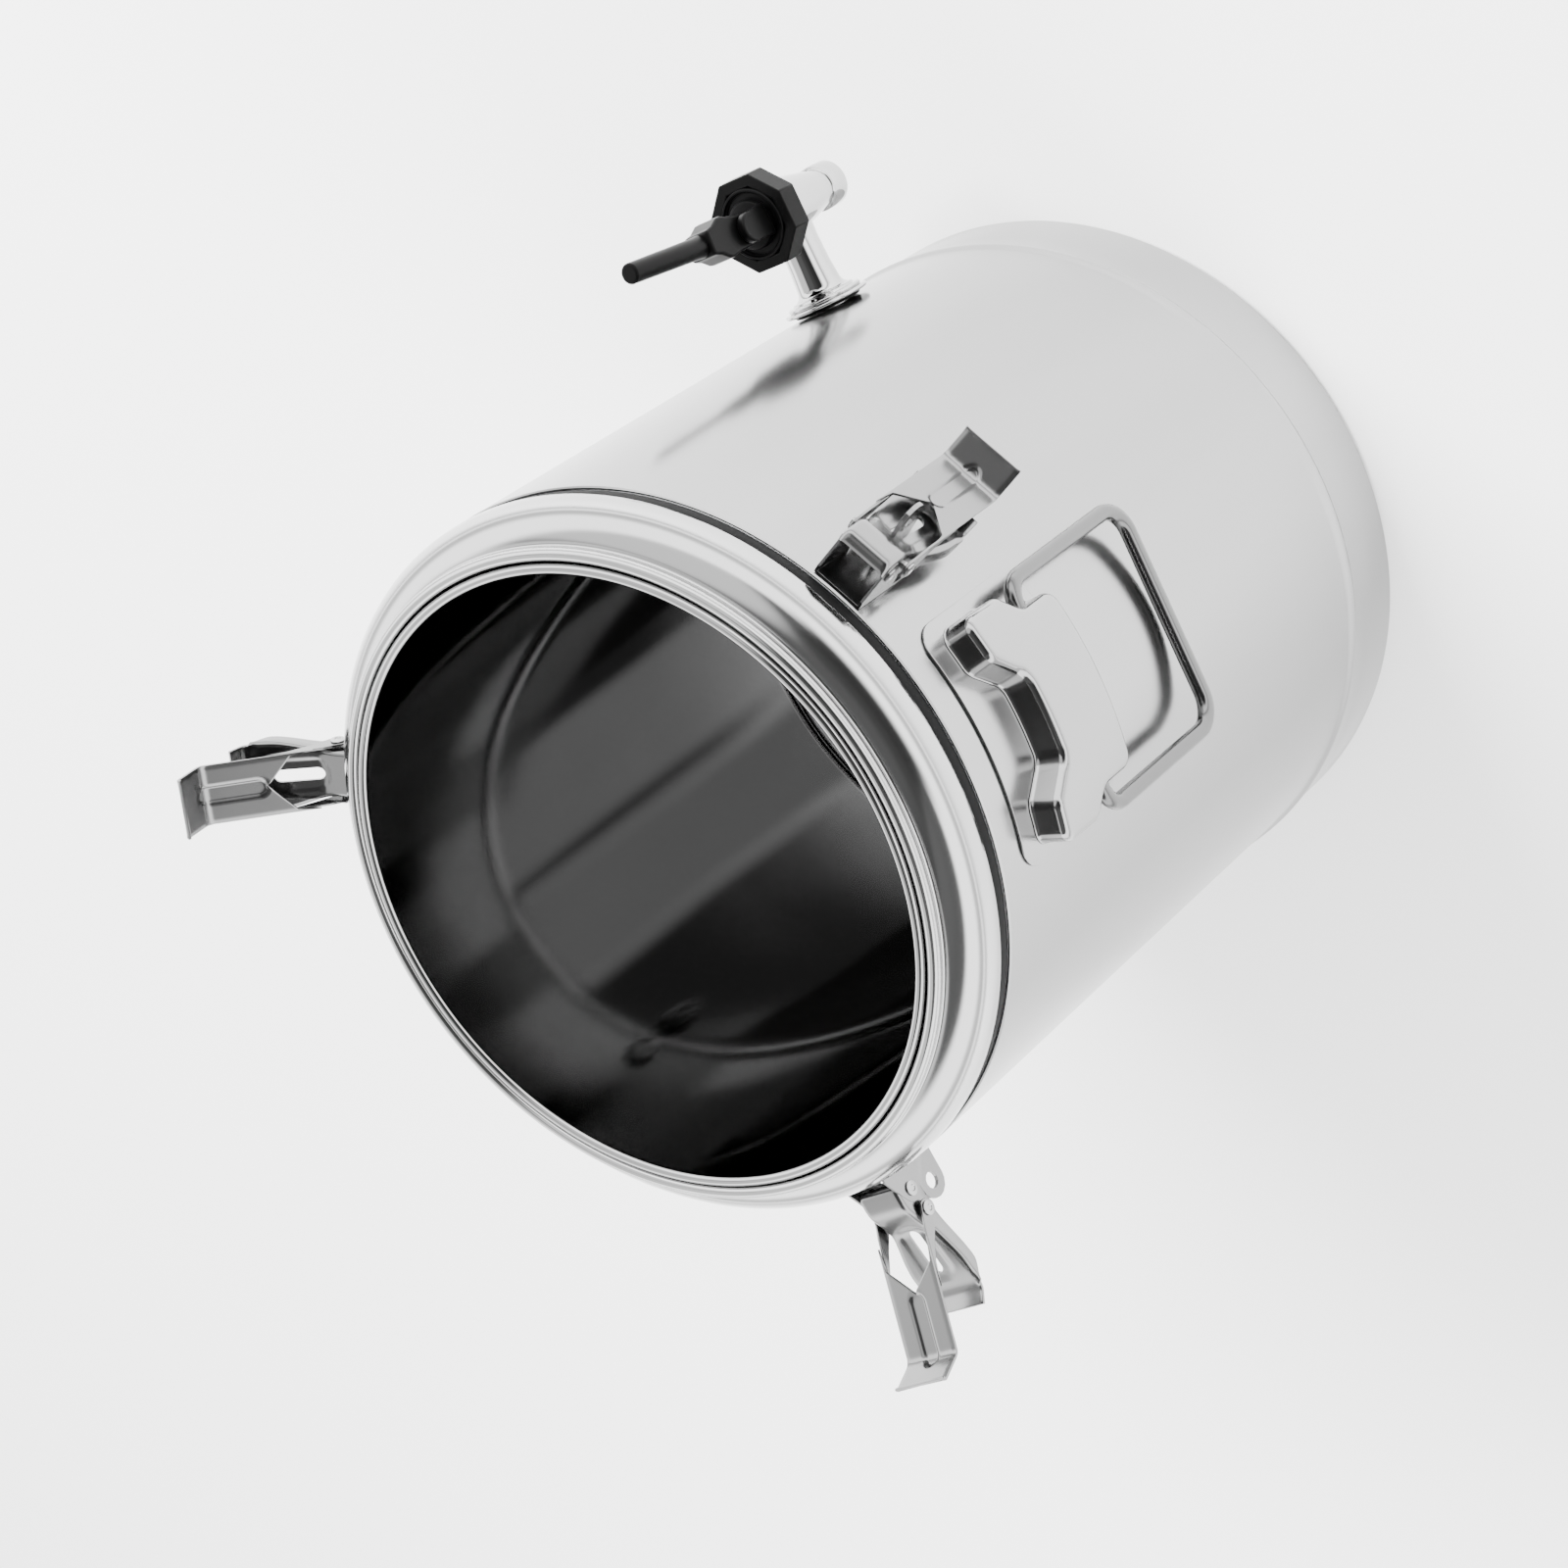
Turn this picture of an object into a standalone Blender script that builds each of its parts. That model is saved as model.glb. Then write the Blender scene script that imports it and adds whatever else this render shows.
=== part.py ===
"""Insulated steel drinks barrel with a side tap, two drop handles and three toggle latches.

Metres, +Z up.  The origin is the centre of the base, on the surface the barrel stands on.  The
tap points to -Y, the handles are at -X and +X, and the latches stand round the top edge, each
left in its own position.
"""

import math

import bmesh
import bpy
from mathutils import Matrix

# ---------------------------------------------------------------- driving dimensions
GAP = 0.0003                 # between pieces that touch

# barrel
SHELL_R = 0.170              # outside radius of the outer shell
HEIGHT = 0.408               # foot to mouth
MOUTH_R = 0.1434             # clear radius of the mouth and of the liner
SHEET = 0.0010               # steel sheet of shell, liner and collar
SEAM_Z = 0.373               # top edge of the outer shell
SEAM_H = 0.0075              # height of the rubber seam ring
SHOULDER_DROP = 0.0185       # mouth down to the collar's corner
RIM_W = 0.0060               # width of the collar's rolled rim
LINER_RIM_W = 0.0050         # width of the liner's rolled edge
BEAD_Z = 0.045               # height of the shell's stiffening bead
BEAD_OUT = 0.0008            # how far the bead stands out
FLOOR_Z = 0.086              # inside floor above the foot
FOOT_H = 0.012               # height of the base pan's rim
TURN_STEPS = 48              # facets round the barrel

# latches: azimuth, angle of the lever from straight out, angle of the hook from the lever
LATCHES = {"a": (94.5, -3.0, 24.0), "b": (210.5, -90.0, 1.5), "c": (335.5, 37.0, 5.0)}
LATCH_TOP = 0.372            # top edge of the bracket
LATCH_W = 0.0247             # width over the bracket's cheeks
LATCH_PLATE_H = 0.052        # height of the bracket's back plate
LATCH_SHEET = 0.0012
PIVOT_OUT = 0.014            # lever pivot from the shell
PIVOT_DOWN = 0.013           # lever pivot below the bracket's top edge
CHEEK_R = 0.0062             # rounded end of a cheek
LEVER_L = 0.055              # pivot to the bend of the finger lip
LIP_RISE = 0.0058            # rise of the finger lip
LEVER_END_W = 0.034          # width at the finger end
FLARE_FROM, FLARE_TO = 0.014, 0.044
HOOD_H = 0.0086              # lever's hood above the pivot
FLANGE_H = 0.0062            # lever's flanges below the pivot
HOOK_PIVOT = 0.0112          # hook pivot from the lever pivot
HOOK_L = 0.065               # hook pivot to the claw's bend
HOOK_W = 0.030
HOOK_RISE = 0.0044           # hook plate above its pivot
HOOK_LUG_R = 0.0046
CLAW_L = 0.016
CLAW_ANGLE = 51.0
NOTCH_FROM, NOTCH_TO = 0.022, 0.035
PIN_R = 0.0020
PIN_HEAD_R = 0.0027
PIN_HEAD_H = 0.0009
PIN_SIDES = 12               # facets of a pin and of its hole
PIN_FIT = 0.00010            # running clearance round a pin
TAB_W = 0.017                # padlock tab
TAB_OUT = 0.022              # tab's hole from the shell
TAB_DOWN = 0.0395            # tab's hole below the bracket's top edge
TAB_T = 0.0020
TAB_HOLE_R = 0.0040
SLOT_W = 0.0044              # lever's slot for the tab
SLOT_FROM, SLOT_TO = 0.0165, 0.0390

# handles
HANDLES = {"left": 180.0, "right": 0.0}
BACK_HALF = 0.057            # half length of the back plate, along the shell
BACK_LOW, BACK_HIGH = 0.280, 0.357
BACK_CORNER = 0.012
BACK_T = 0.0010
COVER_T = 0.0012
COVER_H = 0.0150             # height of the stamped cover
COVER_HALF = 0.051
COVER_LOW, COVER_HIGH = 0.282, 0.346
WAIST_HALF = 0.017           # half length of the waist
WAIST_HIGH = 0.331           # edge of the waist
NOTCH_HALF = 0.041           # half length beside the bail's ends
BAIL_Z = 0.304               # bail axis height
BAIL_OUT = 0.005             # bail axis from the shell
BAIL_R = 0.00375             # bail wire radius
BAIL_HALF = 0.053            # half width, wire centre
BAIL_END = 0.031             # half distance between the wire's ends
BAIL_DEPTH = 0.095           # bail axis to the grip's centre line
BAIL_CORNER = 0.014

# tap
TAP_AZ = 270.0
TAP_Z = 0.110                # height of the tap's inlet
TAP_OUT = 0.052              # upright axis of the tap from the shell
THREAD_R = 0.0100
THREAD_BORE = 0.0060
THREAD_FIT = 0.0015          # hole over thread
FLANGE_R = 0.0210
FLANGE_T = 0.0040
GASKET_T = 0.0022
GASKET_R = 0.0190
NUT_AF = 0.028               # inner nut across flats
NUT_T = 0.0070
WASHER_R = 0.0155
SPOUT_R = 0.0120
SPOUT_END = -0.041           # spout's end from the inlet height
CAP_R = 0.0245               # cap nut over its corners
CAP_T = 0.012
CAP_LOW = 0.014              # cap nut's lower face above the inlet
NECK_R = 0.0165
BOSS_R = 0.0122
EAR_T = 0.0045
EAR_IN = 0.0080              # inner face of each ear
PIVOT_UP = 0.041             # tap lever's pin above the inlet
TAP_PIN_R = 0.0018
PLUNGER_LIFT = 0.005         # how far the plunger rises to open the tap
HUB_R = 0.0080
LEVER_TOP = 0.123            # tap lever's tip above the inlet
ROD_R = 0.0050
LEVER_LEAN = 5.0             # degrees the lever leans out at rest


# ---------------------------------------------------------------- scene and materials
def clear_scene():
    for obj in list(bpy.data.objects):
        bpy.data.objects.remove(obj, do_unlink=True)
    for col in list(bpy.data.collections):
        bpy.data.collections.remove(col)


def new_collection(name):
    col = bpy.data.collections.new(name)
    bpy.context.scene.collection.children.link(col)
    return col


def material(name, colour, metallic, roughness):
    mat = bpy.data.materials.new(name)
    mat.use_nodes = True
    shader = mat.node_tree.nodes["Principled BSDF"]
    shader.inputs["Base Color"].default_value = (*colour, 1.0)
    shader.inputs["Metallic"].default_value = metallic
    shader.inputs["Roughness"].default_value = roughness
    mat.diffuse_color = (*colour, 1.0)
    return mat


STEEL = ((0.80, 0.80, 0.81), 1.0, 0.12)
STAMPED = ((0.74, 0.74, 0.75), 1.0, 0.25)
CHROME = ((0.86, 0.86, 0.87), 1.0, 0.06)
BLACK = ((0.020, 0.020, 0.021), 0.0, 0.35)
RUBBER = ((0.030, 0.030, 0.030), 0.0, 0.70)
FOAM = ((0.80, 0.72, 0.50), 0.0, 0.90)


# ---------------------------------------------------------------- modelling helpers
def add_object(name, mesh, look, col, parent=None):
    """Put a mesh in the scene as one sub-part with a material of its own."""
    obj = bpy.data.objects.new(name, mesh)
    mesh.name = name
    mesh.materials.clear()
    mesh.materials.append(material(name + "_material", *look))
    col.objects.link(obj)
    obj.parent = parent
    return obj


def add_cutter(name, mesh, cutters, parent=None):
    obj = bpy.data.objects.new(name, mesh)
    cutters.objects.link(obj)
    obj.parent = parent
    obj.hide_render = True
    obj.display_type = "WIRE"
    return obj


def add_empty(name, col, location=(0, 0, 0), turn_y=0.0, turn_z=0.0, parent=None):
    """An axis or frame: turned about Z, or about its own Y for a pivot."""
    obj = bpy.data.objects.new(name, None)
    obj.empty_display_size = 0.01
    col.objects.link(obj)
    obj.location = location
    obj.rotation_euler = (0.0, turn_y, turn_z)
    obj.parent = parent
    return obj


def boolean(obj, other, operation="DIFFERENCE"):
    mod = obj.modifiers.new(operation.title(), "BOOLEAN")
    mod.operation = operation
    mod.object = other
    mod.solver = "EXACT"


def turned_mesh(name, profile):
    """A profile of (radius, height) pairs in the XZ plane, for a Screw modifier.

    It runs down the outer side and back up the inner one, and is left open on the axis.
    """
    mesh = bpy.data.meshes.new(name)
    count = len(profile)
    on_axis = [r == 0.0 for r, _ in profile]
    edges = [(i, (i + 1) % count) for i in range(count)
             if not (on_axis[i] and on_axis[(i + 1) % count])]
    mesh.from_pydata([(r, 0.0, z) for r, z in profile], edges, [])
    return mesh


def screw(obj, steps):
    mod = obj.modifiers.new("Turn", "SCREW")
    mod.steps = steps
    mod.render_steps = steps
    mod.use_merge_vertices = True
    mod.merge_threshold = 0.00001
    mod.use_smooth_shade = False


def turned(name, profile, look, col, steps=TURN_STEPS, parent=None):
    obj = add_object(name, turned_mesh(name, profile), look, col, parent)
    screw(obj, steps)
    return obj


def turned_cutter(name, profile, cutters, steps=TURN_STEPS, parent=None):
    obj = add_cutter(name, turned_mesh(name, profile), cutters, parent)
    screw(obj, steps)
    return obj


def arc(cx, cy, radius, start, end, count):
    """Points on an arc, angles in degrees."""
    return [(cx + radius * math.cos(math.radians(start + (end - start) * i / (count - 1))),
             cy + radius * math.sin(math.radians(start + (end - start) * i / (count - 1))))
            for i in range(count)]


def outline_mesh(name, outline, low, high, plane="XY"):
    """A flat outline extruded from low to high, square to its plane."""
    curve = bpy.data.curves.new(name, "CURVE")
    curve.dimensions = "2D"
    curve.fill_mode = "BOTH"
    curve.extrude = (high - low) / 2.0
    spline = curve.splines.new("POLY")
    spline.points.add(len(outline) - 1)
    for point, (x, y) in zip(spline.points, outline):
        point.co = (x, y, 0.0, 1.0)
    spline.use_cyclic_u = True
    holder = bpy.data.objects.new(name, curve)
    bpy.context.scene.collection.objects.link(holder)
    bpy.context.view_layer.update()
    evaluated = holder.evaluated_get(bpy.context.evaluated_depsgraph_get())
    mesh = bpy.data.meshes.new_from_object(evaluated)
    bpy.data.objects.remove(holder, do_unlink=True)
    bpy.data.curves.remove(curve)
    mesh.transform(Matrix.Translation((0.0, 0.0, (low + high) / 2.0)))
    if plane == "XZ":                       # outline's y becomes Z, its thickness runs along Y
        mesh.transform(Matrix(((1, 0, 0, 0), (0, 0, 1, 0), (0, 1, 0, 0), (0, 0, 0, 1))))
    shape = bmesh.new()
    shape.from_mesh(mesh)
    bmesh.ops.remove_doubles(shape, verts=shape.verts, dist=0.00001)
    bmesh.ops.recalc_face_normals(shape, faces=shape.faces)
    shape.to_mesh(mesh)
    shape.free()
    return mesh


def rod_mesh(name, radius, low, high, axis="Z", centre=(0.0, 0.0), sides=20):
    """A cylinder from low to high along one axis; centre is given in the other two, in order."""
    mesh = bpy.data.meshes.new(name)
    shape = bmesh.new()
    bmesh.ops.create_cone(shape, cap_ends=True, segments=sides, radius1=radius,
                          radius2=radius, depth=high - low)
    bmesh.ops.translate(shape, verts=shape.verts, vec=(0, 0, (low + high) / 2.0))
    if axis == "Y":
        bmesh.ops.rotate(shape, verts=shape.verts, matrix=Matrix.Rotation(-math.pi / 2, 3, "X"))
        bmesh.ops.translate(shape, verts=shape.verts, vec=(centre[0], 0, centre[1]))
    elif axis == "X":
        bmesh.ops.rotate(shape, verts=shape.verts, matrix=Matrix.Rotation(math.pi / 2, 3, "Y"))
        bmesh.ops.translate(shape, verts=shape.verts, vec=(0, centre[0], centre[1]))
    else:
        bmesh.ops.translate(shape, verts=shape.verts, vec=(centre[0], centre[1], 0))
    shape.to_mesh(mesh)
    shape.free()
    return mesh


def box_mesh(name, low, high):
    mesh = bpy.data.meshes.new(name)
    shape = bmesh.new()
    bmesh.ops.create_cube(shape, size=1.0)
    for vert in shape.verts:
        vert.co = [lo + (hi - lo) * (c + 0.5) for lo, hi, c in zip(low, high, vert.co)]
    shape.to_mesh(mesh)
    shape.free()
    return mesh


def split_along_x(mesh, places):
    """Add an edge loop at each x, so that a later bend or flare has somewhere to turn."""
    shape = bmesh.new()
    shape.from_mesh(mesh)
    for x in places:
        bmesh.ops.bisect_plane(shape, geom=shape.verts[:] + shape.edges[:] + shape.faces[:],
                               plane_co=(x, 0, 0), plane_no=(1, 0, 0), dist=0.000001)
    shape.to_mesh(mesh)
    shape.free()


# ---------------------------------------------------------------- barrel
CORNER_Z = HEIGHT - SHOULDER_DROP
COLLAR_LOW = SEAM_Z + SEAM_H
RIM_IN = MOUTH_R + LINER_RIM_W + 2 * GAP
RIM_OUT = RIM_IN + RIM_W
LINER_OUT = MOUTH_R + SHEET


def tunnel(name, cutters, radius, inner, outer):
    """A cutter through the barrel's wall where the tap goes in."""
    frame = add_empty(name + "_frame", cutters, turn_z=math.radians(TAP_AZ))
    return add_cutter(name, rod_mesh(name, radius, inner, outer, "X", (0.0, TAP_Z)),
                      cutters, frame)


def build_barrel(col, cutters):
    r, t = SHELL_R, SHEET
    bead = BEAD_OUT
    shell = turned("outer_shell", [
        (r, SEAM_Z), (r, BEAD_Z + 0.006), (r + bead, BEAD_Z + 0.002), (r + bead, BEAD_Z - 0.002),
        (r, BEAD_Z - 0.006), (r, 0.0008), (r - t, 0.0008), (r - t, SEAM_Z)], STEEL, col)
    foot_r = r - t - GAP
    turned("base_pan", [
        (foot_r, FOOT_H), (foot_r, 0.0), (0.0, 0.0), (0.0, t), (foot_r - t, t),
        (foot_r - t, FOOT_H)], STEEL, col)

    seam_in = r - 0.010
    turned("seam_ring", [
        (r - 0.0014, COLLAR_LOW - GAP), (r - 0.0014, SEAM_Z + GAP),
        (seam_in, SEAM_Z + GAP), (seam_in, COLLAR_LOW - GAP)], RUBBER, col)

    # the collar: short wall, rounded corner, sloping shoulder, neck and rolled rim
    corner = 0.0055
    slope = math.degrees(math.atan2(HEIGHT - 0.0075 - CORNER_Z, RIM_OUT - 0.004 - r))
    lean = slope - 90.0
    bend = arc(r - corner, CORNER_Z - corner + 0.001, corner, 0.0, lean, 3)
    bead_r = 0.0030
    roll = arc(RIM_OUT - bead_r, HEIGHT - bead_r - 0.0004, bead_r, -30.0, 90.0, 3)
    turned("mouth_collar", (
        [(RIM_IN, HEIGHT - 0.0004)] + roll[::-1] + [(RIM_OUT - 0.0022, HEIGHT - 0.0070)]
        + bend[::-1] + [(r, COLLAR_LOW), (r - t, COLLAR_LOW)]
        + [(r - t, CORNER_Z - corner), (r - corner - 0.001, CORNER_Z - 0.0009),
           (RIM_IN, HEIGHT - 0.0085)]), STEEL, col)

    # the liner: rolled edge, wall, coved floor
    rim = arc(MOUTH_R + LINER_RIM_W / 2, HEIGHT - LINER_RIM_W / 2, LINER_RIM_W / 2, 0.0, 180.0, 4)
    cove = 0.012
    outer_cove = arc(LINER_OUT - cove, FLOOR_Z + cove - t, cove, 0.0, -90.0, 3)
    inner_cove = arc(MOUTH_R - cove + t, FLOOR_Z + cove - t, cove - t, -90.0, 0.0, 3)
    liner = turned("inner_liner", (
        rim[::-1][-1:] + [(MOUTH_R + LINER_RIM_W, HEIGHT - 0.0060),
                          (LINER_OUT, HEIGHT - 0.0075)]
        + outer_cove + [(0.0, FLOOR_Z - t), (0.0, FLOOR_Z)] + inner_cove
        + rim[::-1][:-1]), STEEL, col)

    out, inn = r - t - 2 * GAP, LINER_OUT + 2 * GAP
    foam = turned("insulation_foam", [
        (seam_in - GAP, SEAM_Z), (out, SEAM_Z - 0.002), (out, FOOT_H + GAP), (0.0, FOOT_H + GAP),
        (0.0, FLOOR_Z - t - 2 * GAP), (inn, FLOOR_Z - t - 2 * GAP), (inn, SEAM_Z)], FOAM, col)

    wall = THREAD_R + THREAD_FIT
    boolean(shell, tunnel("shell_hole", cutters, wall, r - 0.012, r + 0.010))
    boolean(liner, tunnel("liner_hole", cutters, wall, MOUTH_R - 0.010, LINER_OUT + 0.004))
    boolean(foam, tunnel("foam_hole", cutters, wall, LINER_OUT - 0.004, r + 0.004))


# ---------------------------------------------------------------- latches
def bracket_outline():
    """Side of the bracket: back plate, and a cheek rounded about the pivot (out, height)."""
    low = LATCH_TOP - LATCH_PLATE_H
    pz = LATCH_TOP - PIVOT_DOWN
    back = GAP + LATCH_SHEET
    return ([(GAP, LATCH_TOP), (GAP, low), (back, low), (back, pz - 0.012), (0.006, pz - 0.012)]
            + arc(PIVOT_OUT, pz, CHEEK_R, -62.0, 62.0, 7)
            + [(0.004, LATCH_TOP)])


def pin_hole(name, col, x, z, radius=PIN_R + PIN_FIT, parent=None):
    return add_cutter(name, rod_mesh(name, radius, -0.03, 0.03, "Y", (x, z), PIN_SIDES), col,
                      parent)


def build_bracket(tag, col, cutters, frame):
    half = LATCH_W / 2
    inner = half - LATCH_SHEET
    back = GAP + LATCH_SHEET
    pz = LATCH_TOP - PIVOT_DOWN
    tab_z = LATCH_TOP - TAB_DOWN
    name = f"latch_{tag}_bracket"
    bracket = add_object(name, outline_mesh(name, bracket_outline(), -half, half, "XZ"),
                         STAMPED, col, frame)
    hollow = box_mesh(name + "_hollow", (back, -inner, pz - 0.03), (0.03, inner, LATCH_TOP + 0.01))
    boolean(bracket, add_cutter(name + "_hollow", hollow, cutters, frame))
    low, high = tab_z - TAB_W / 2, tab_z + TAB_W / 2
    tab = ([(back - 0.0006, high), (back - 0.0006, low)]
           + arc(TAB_OUT, tab_z, TAB_W / 2, -90.0, 90.0, 9))
    tab_obj = add_cutter(name + "_tab", outline_mesh(name + "_tab", tab, -TAB_T / 2, TAB_T / 2,
                                                     "XZ"), cutters, frame)
    boolean(bracket, tab_obj, "UNION")
    boolean(bracket, pin_hole(name + "_eye", cutters, TAB_OUT, tab_z, TAB_HOLE_R, frame))
    boolean(bracket, pin_hole(name + "_bore", cutters, PIVOT_OUT, pz, parent=frame))


def rivet(name, col, parent, x, half):
    """A headed pin along Y at x, with its heads just outside the given half width."""
    inside, outside = half + GAP / 2, half + GAP / 2 + PIN_HEAD_H
    profile = [(0.0, outside), (PIN_HEAD_R, outside), (PIN_HEAD_R, inside), (PIN_R, inside),
               (PIN_R, -inside), (PIN_HEAD_R, -inside), (PIN_HEAD_R, -outside), (0.0, -outside)]
    obj = turned(name, profile, STAMPED, col, PIN_SIDES, parent)
    obj.location = (x, 0.0, 0.0)
    obj.rotation_euler = (math.pi / 2, 0.0, 0.0)


def flare(mesh, base, end):
    """Widen a lever block from base to end half width between the two flare stations."""
    split_along_x(mesh, (FLARE_FROM, FLARE_TO))
    for vert in mesh.vertices:
        share = min(1.0, max(0.0, (vert.co.x - FLARE_FROM) / (FLARE_TO - FLARE_FROM)))
        vert.co.y = math.copysign(base + (end - base) * share, vert.co.y)


def lever_top(drop=0.0):
    """Hood over the pivot, then the web down to the finger bend, lowered by a sheet."""
    front = -0.0065 + drop
    return [(front, 0.003 - drop / 2), (-0.0045 + drop * 0.7, HOOD_H - 0.0018 - drop * 0.7),
            (0.0, HOOD_H - drop), (0.004 - drop * 0.3, HOOD_H - drop),
            (0.020 - drop * 0.3, 0.001 - drop), (FLARE_TO, -0.001 - drop),
            (LEVER_L - drop * 0.5, -0.0025 - drop)]


def build_lever(tag, col, cutters, pivot):
    base = LATCH_W / 2 - LATCH_SHEET - 0.8 * GAP
    end = LEVER_END_W / 2
    sheet = LATCH_SHEET
    name = f"latch_{tag}_lever"
    outline = (lever_top()
               + [(LEVER_L + 0.0070, -0.0025 + LIP_RISE), (LEVER_L + 0.0079, -0.0033 + LIP_RISE),
                  (LEVER_L + 0.0005, -0.0037), (0.0470, -FLANGE_H), (0.0, -FLANGE_H),
                  (-0.0045, -0.0050), (-0.0065, -0.0030)])
    mesh = outline_mesh(name, outline[::-1], -base, base, "XZ")
    flare(mesh, base, end)
    lever = add_object(name, mesh, STAMPED, col, pivot)
    inside = lever_top(sheet)[:-1] + [(0.0530, -0.0022 - sheet), (0.0530, -0.02),
                                      (-0.0065 + sheet, -0.02)]
    hollow = outline_mesh(name + "_hollow", inside[::-1], -base, base, "XZ")
    flare(hollow, base - sheet, end - sheet)
    boolean(lever, add_cutter(name + "_hollow", hollow, cutters, pivot))
    slot = box_mesh(name + "_slot", (SLOT_FROM, -SLOT_W / 2, -0.01), (SLOT_TO, SLOT_W / 2, 0.02))
    boolean(lever, add_cutter(name + "_slot", slot, cutters, pivot))
    boolean(lever, pin_hole(name + "_bore_a", cutters, 0.0, 0.0, parent=pivot))
    boolean(lever, pin_hole(name + "_bore_b", cutters, HOOK_PIVOT, 0.0, parent=pivot))


def build_hook(tag, col, cutters, pivot):
    half, sheet = HOOK_W / 2, LATCH_SHEET
    top, low = HOOK_RISE + LATCH_SHEET, HOOK_RISE
    name = f"latch_{tag}_hook"
    c, s = math.cos(math.radians(CLAW_ANGLE)), math.sin(math.radians(CLAW_ANGLE))
    bx, bz = HOOK_L, top
    nx, nz = s * sheet, -c * sheet          # from the claw's inner face to its outer one
    tip = (bx + c * CLAW_L, bz + s * CLAW_L)
    hem = (tip[0] - s * 0.0022, tip[1] + c * 0.0022)
    outline = (arc(0.0, 0.0, HOOK_LUG_R, -60.0, -240.0, 9) + [(0.020, top), (bx, bz)]
               + [(tip[0] - c * 0.0010, tip[1] - s * 0.0010), hem,
                  (hem[0] + c * 0.0011, hem[1] + s * 0.0011),
                  (tip[0] + nx + c * 0.0011, tip[1] + nz + s * 0.0011),
                  (bx + 0.0012, low)] + [(NOTCH_TO, low), (0.015, 0.0015)])
    hook = add_object(name, outline_mesh(name, outline, -half, half, "XZ"), STAMPED, col, pivot)
    inner = half - sheet
    notch = [(-0.008, -inner), (NOTCH_FROM, -inner), (NOTCH_TO, 0.0), (NOTCH_FROM, inner),
             (-0.008, inner)]
    boolean(hook, add_cutter(name + "_notch", outline_mesh(name + "_notch", notch, -0.01, 0.02),
                             cutters, pivot))
    under = box_mesh(name + "_under", (0.010, -inner, -0.010), (0.040, inner, low))
    boolean(hook, add_cutter(name + "_under", under, cutters, pivot))
    boolean(hook, pin_hole(name + "_bore", cutters, 0.0, 0.0, parent=pivot))


def build_latch(tag, azimuth, lever_angle, hook_angle, col, cutters):
    turn = math.radians(azimuth)
    place = (SHELL_R * math.cos(turn), SHELL_R * math.sin(turn), 0.0)
    frame = add_empty(f"latch_{tag}_frame", col, place, turn_z=turn)
    build_bracket(tag, col, cutters, frame)
    lever_pivot = add_empty(f"latch_{tag}_lever_pivot", col,
                            (PIVOT_OUT, 0.0, LATCH_TOP - PIVOT_DOWN),
                            turn_y=-math.radians(lever_angle), parent=frame)
    build_lever(tag, col, cutters, lever_pivot)
    hook_pivot = add_empty(f"latch_{tag}_hook_pivot", col, (HOOK_PIVOT, 0.0, 0.0),
                           turn_y=-math.radians(hook_angle), parent=lever_pivot)
    build_hook(tag, col, cutters, hook_pivot)
    rivet(f"latch_{tag}_lever_pin", col, lever_pivot, 0.0, LATCH_W / 2)
    rivet(f"latch_{tag}_hook_pin", col, lever_pivot, HOOK_PIVOT, HOOK_W / 2)


# ---------------------------------------------------------------- handles
def wrap(mesh, count):
    """Bend a flat piece round the shell: x runs along the shell, y up, z out from it."""
    low = min(v.co.x for v in mesh.vertices)
    high = max(v.co.x for v in mesh.vertices)
    split_along_x(mesh, [low + (high - low) * i / count for i in range(1, count)])
    for vert in mesh.vertices:
        angle = vert.co.x / SHELL_R
        radius = SHELL_R + vert.co.z
        vert.co = (radius * math.cos(angle), radius * math.sin(angle), vert.co.y)


def rounded_rectangle(half, low, high, corner, count=5):
    return (arc(half - corner, high - corner, corner, 0.0, 90.0, count)
            + arc(-half + corner, high - corner, corner, 90.0, 180.0, count)
            + [(-half, low), (half, low)])


def cover_outline(inset=0.0):
    """Plan of the cover: straight lower edge, notched ends, two lobes and a waist."""
    half, corner = COVER_HALF - inset, 0.008
    low, high = COVER_LOW + inset, COVER_HIGH - inset
    notch, waist = NOTCH_HALF - inset, WAIST_HIGH - inset
    step_z = BAIL_Z + BAIL_R + 0.004 + inset
    right = ([(notch, low + 0.004), (notch, step_z - 0.004)]
             + [(notch + 0.004, step_z), (half, step_z + 0.006)]
             + arc(half - corner, high - corner, corner, 0.0, 90.0, 4)
             + [(WAIST_HALF + 0.012 + inset, high), (WAIST_HALF + inset, waist)])
    left = [(-x, y) for x, y in right[::-1]]
    return [(notch - 0.004, low)] + right + left + [(-notch + 0.004, low)]


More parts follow.
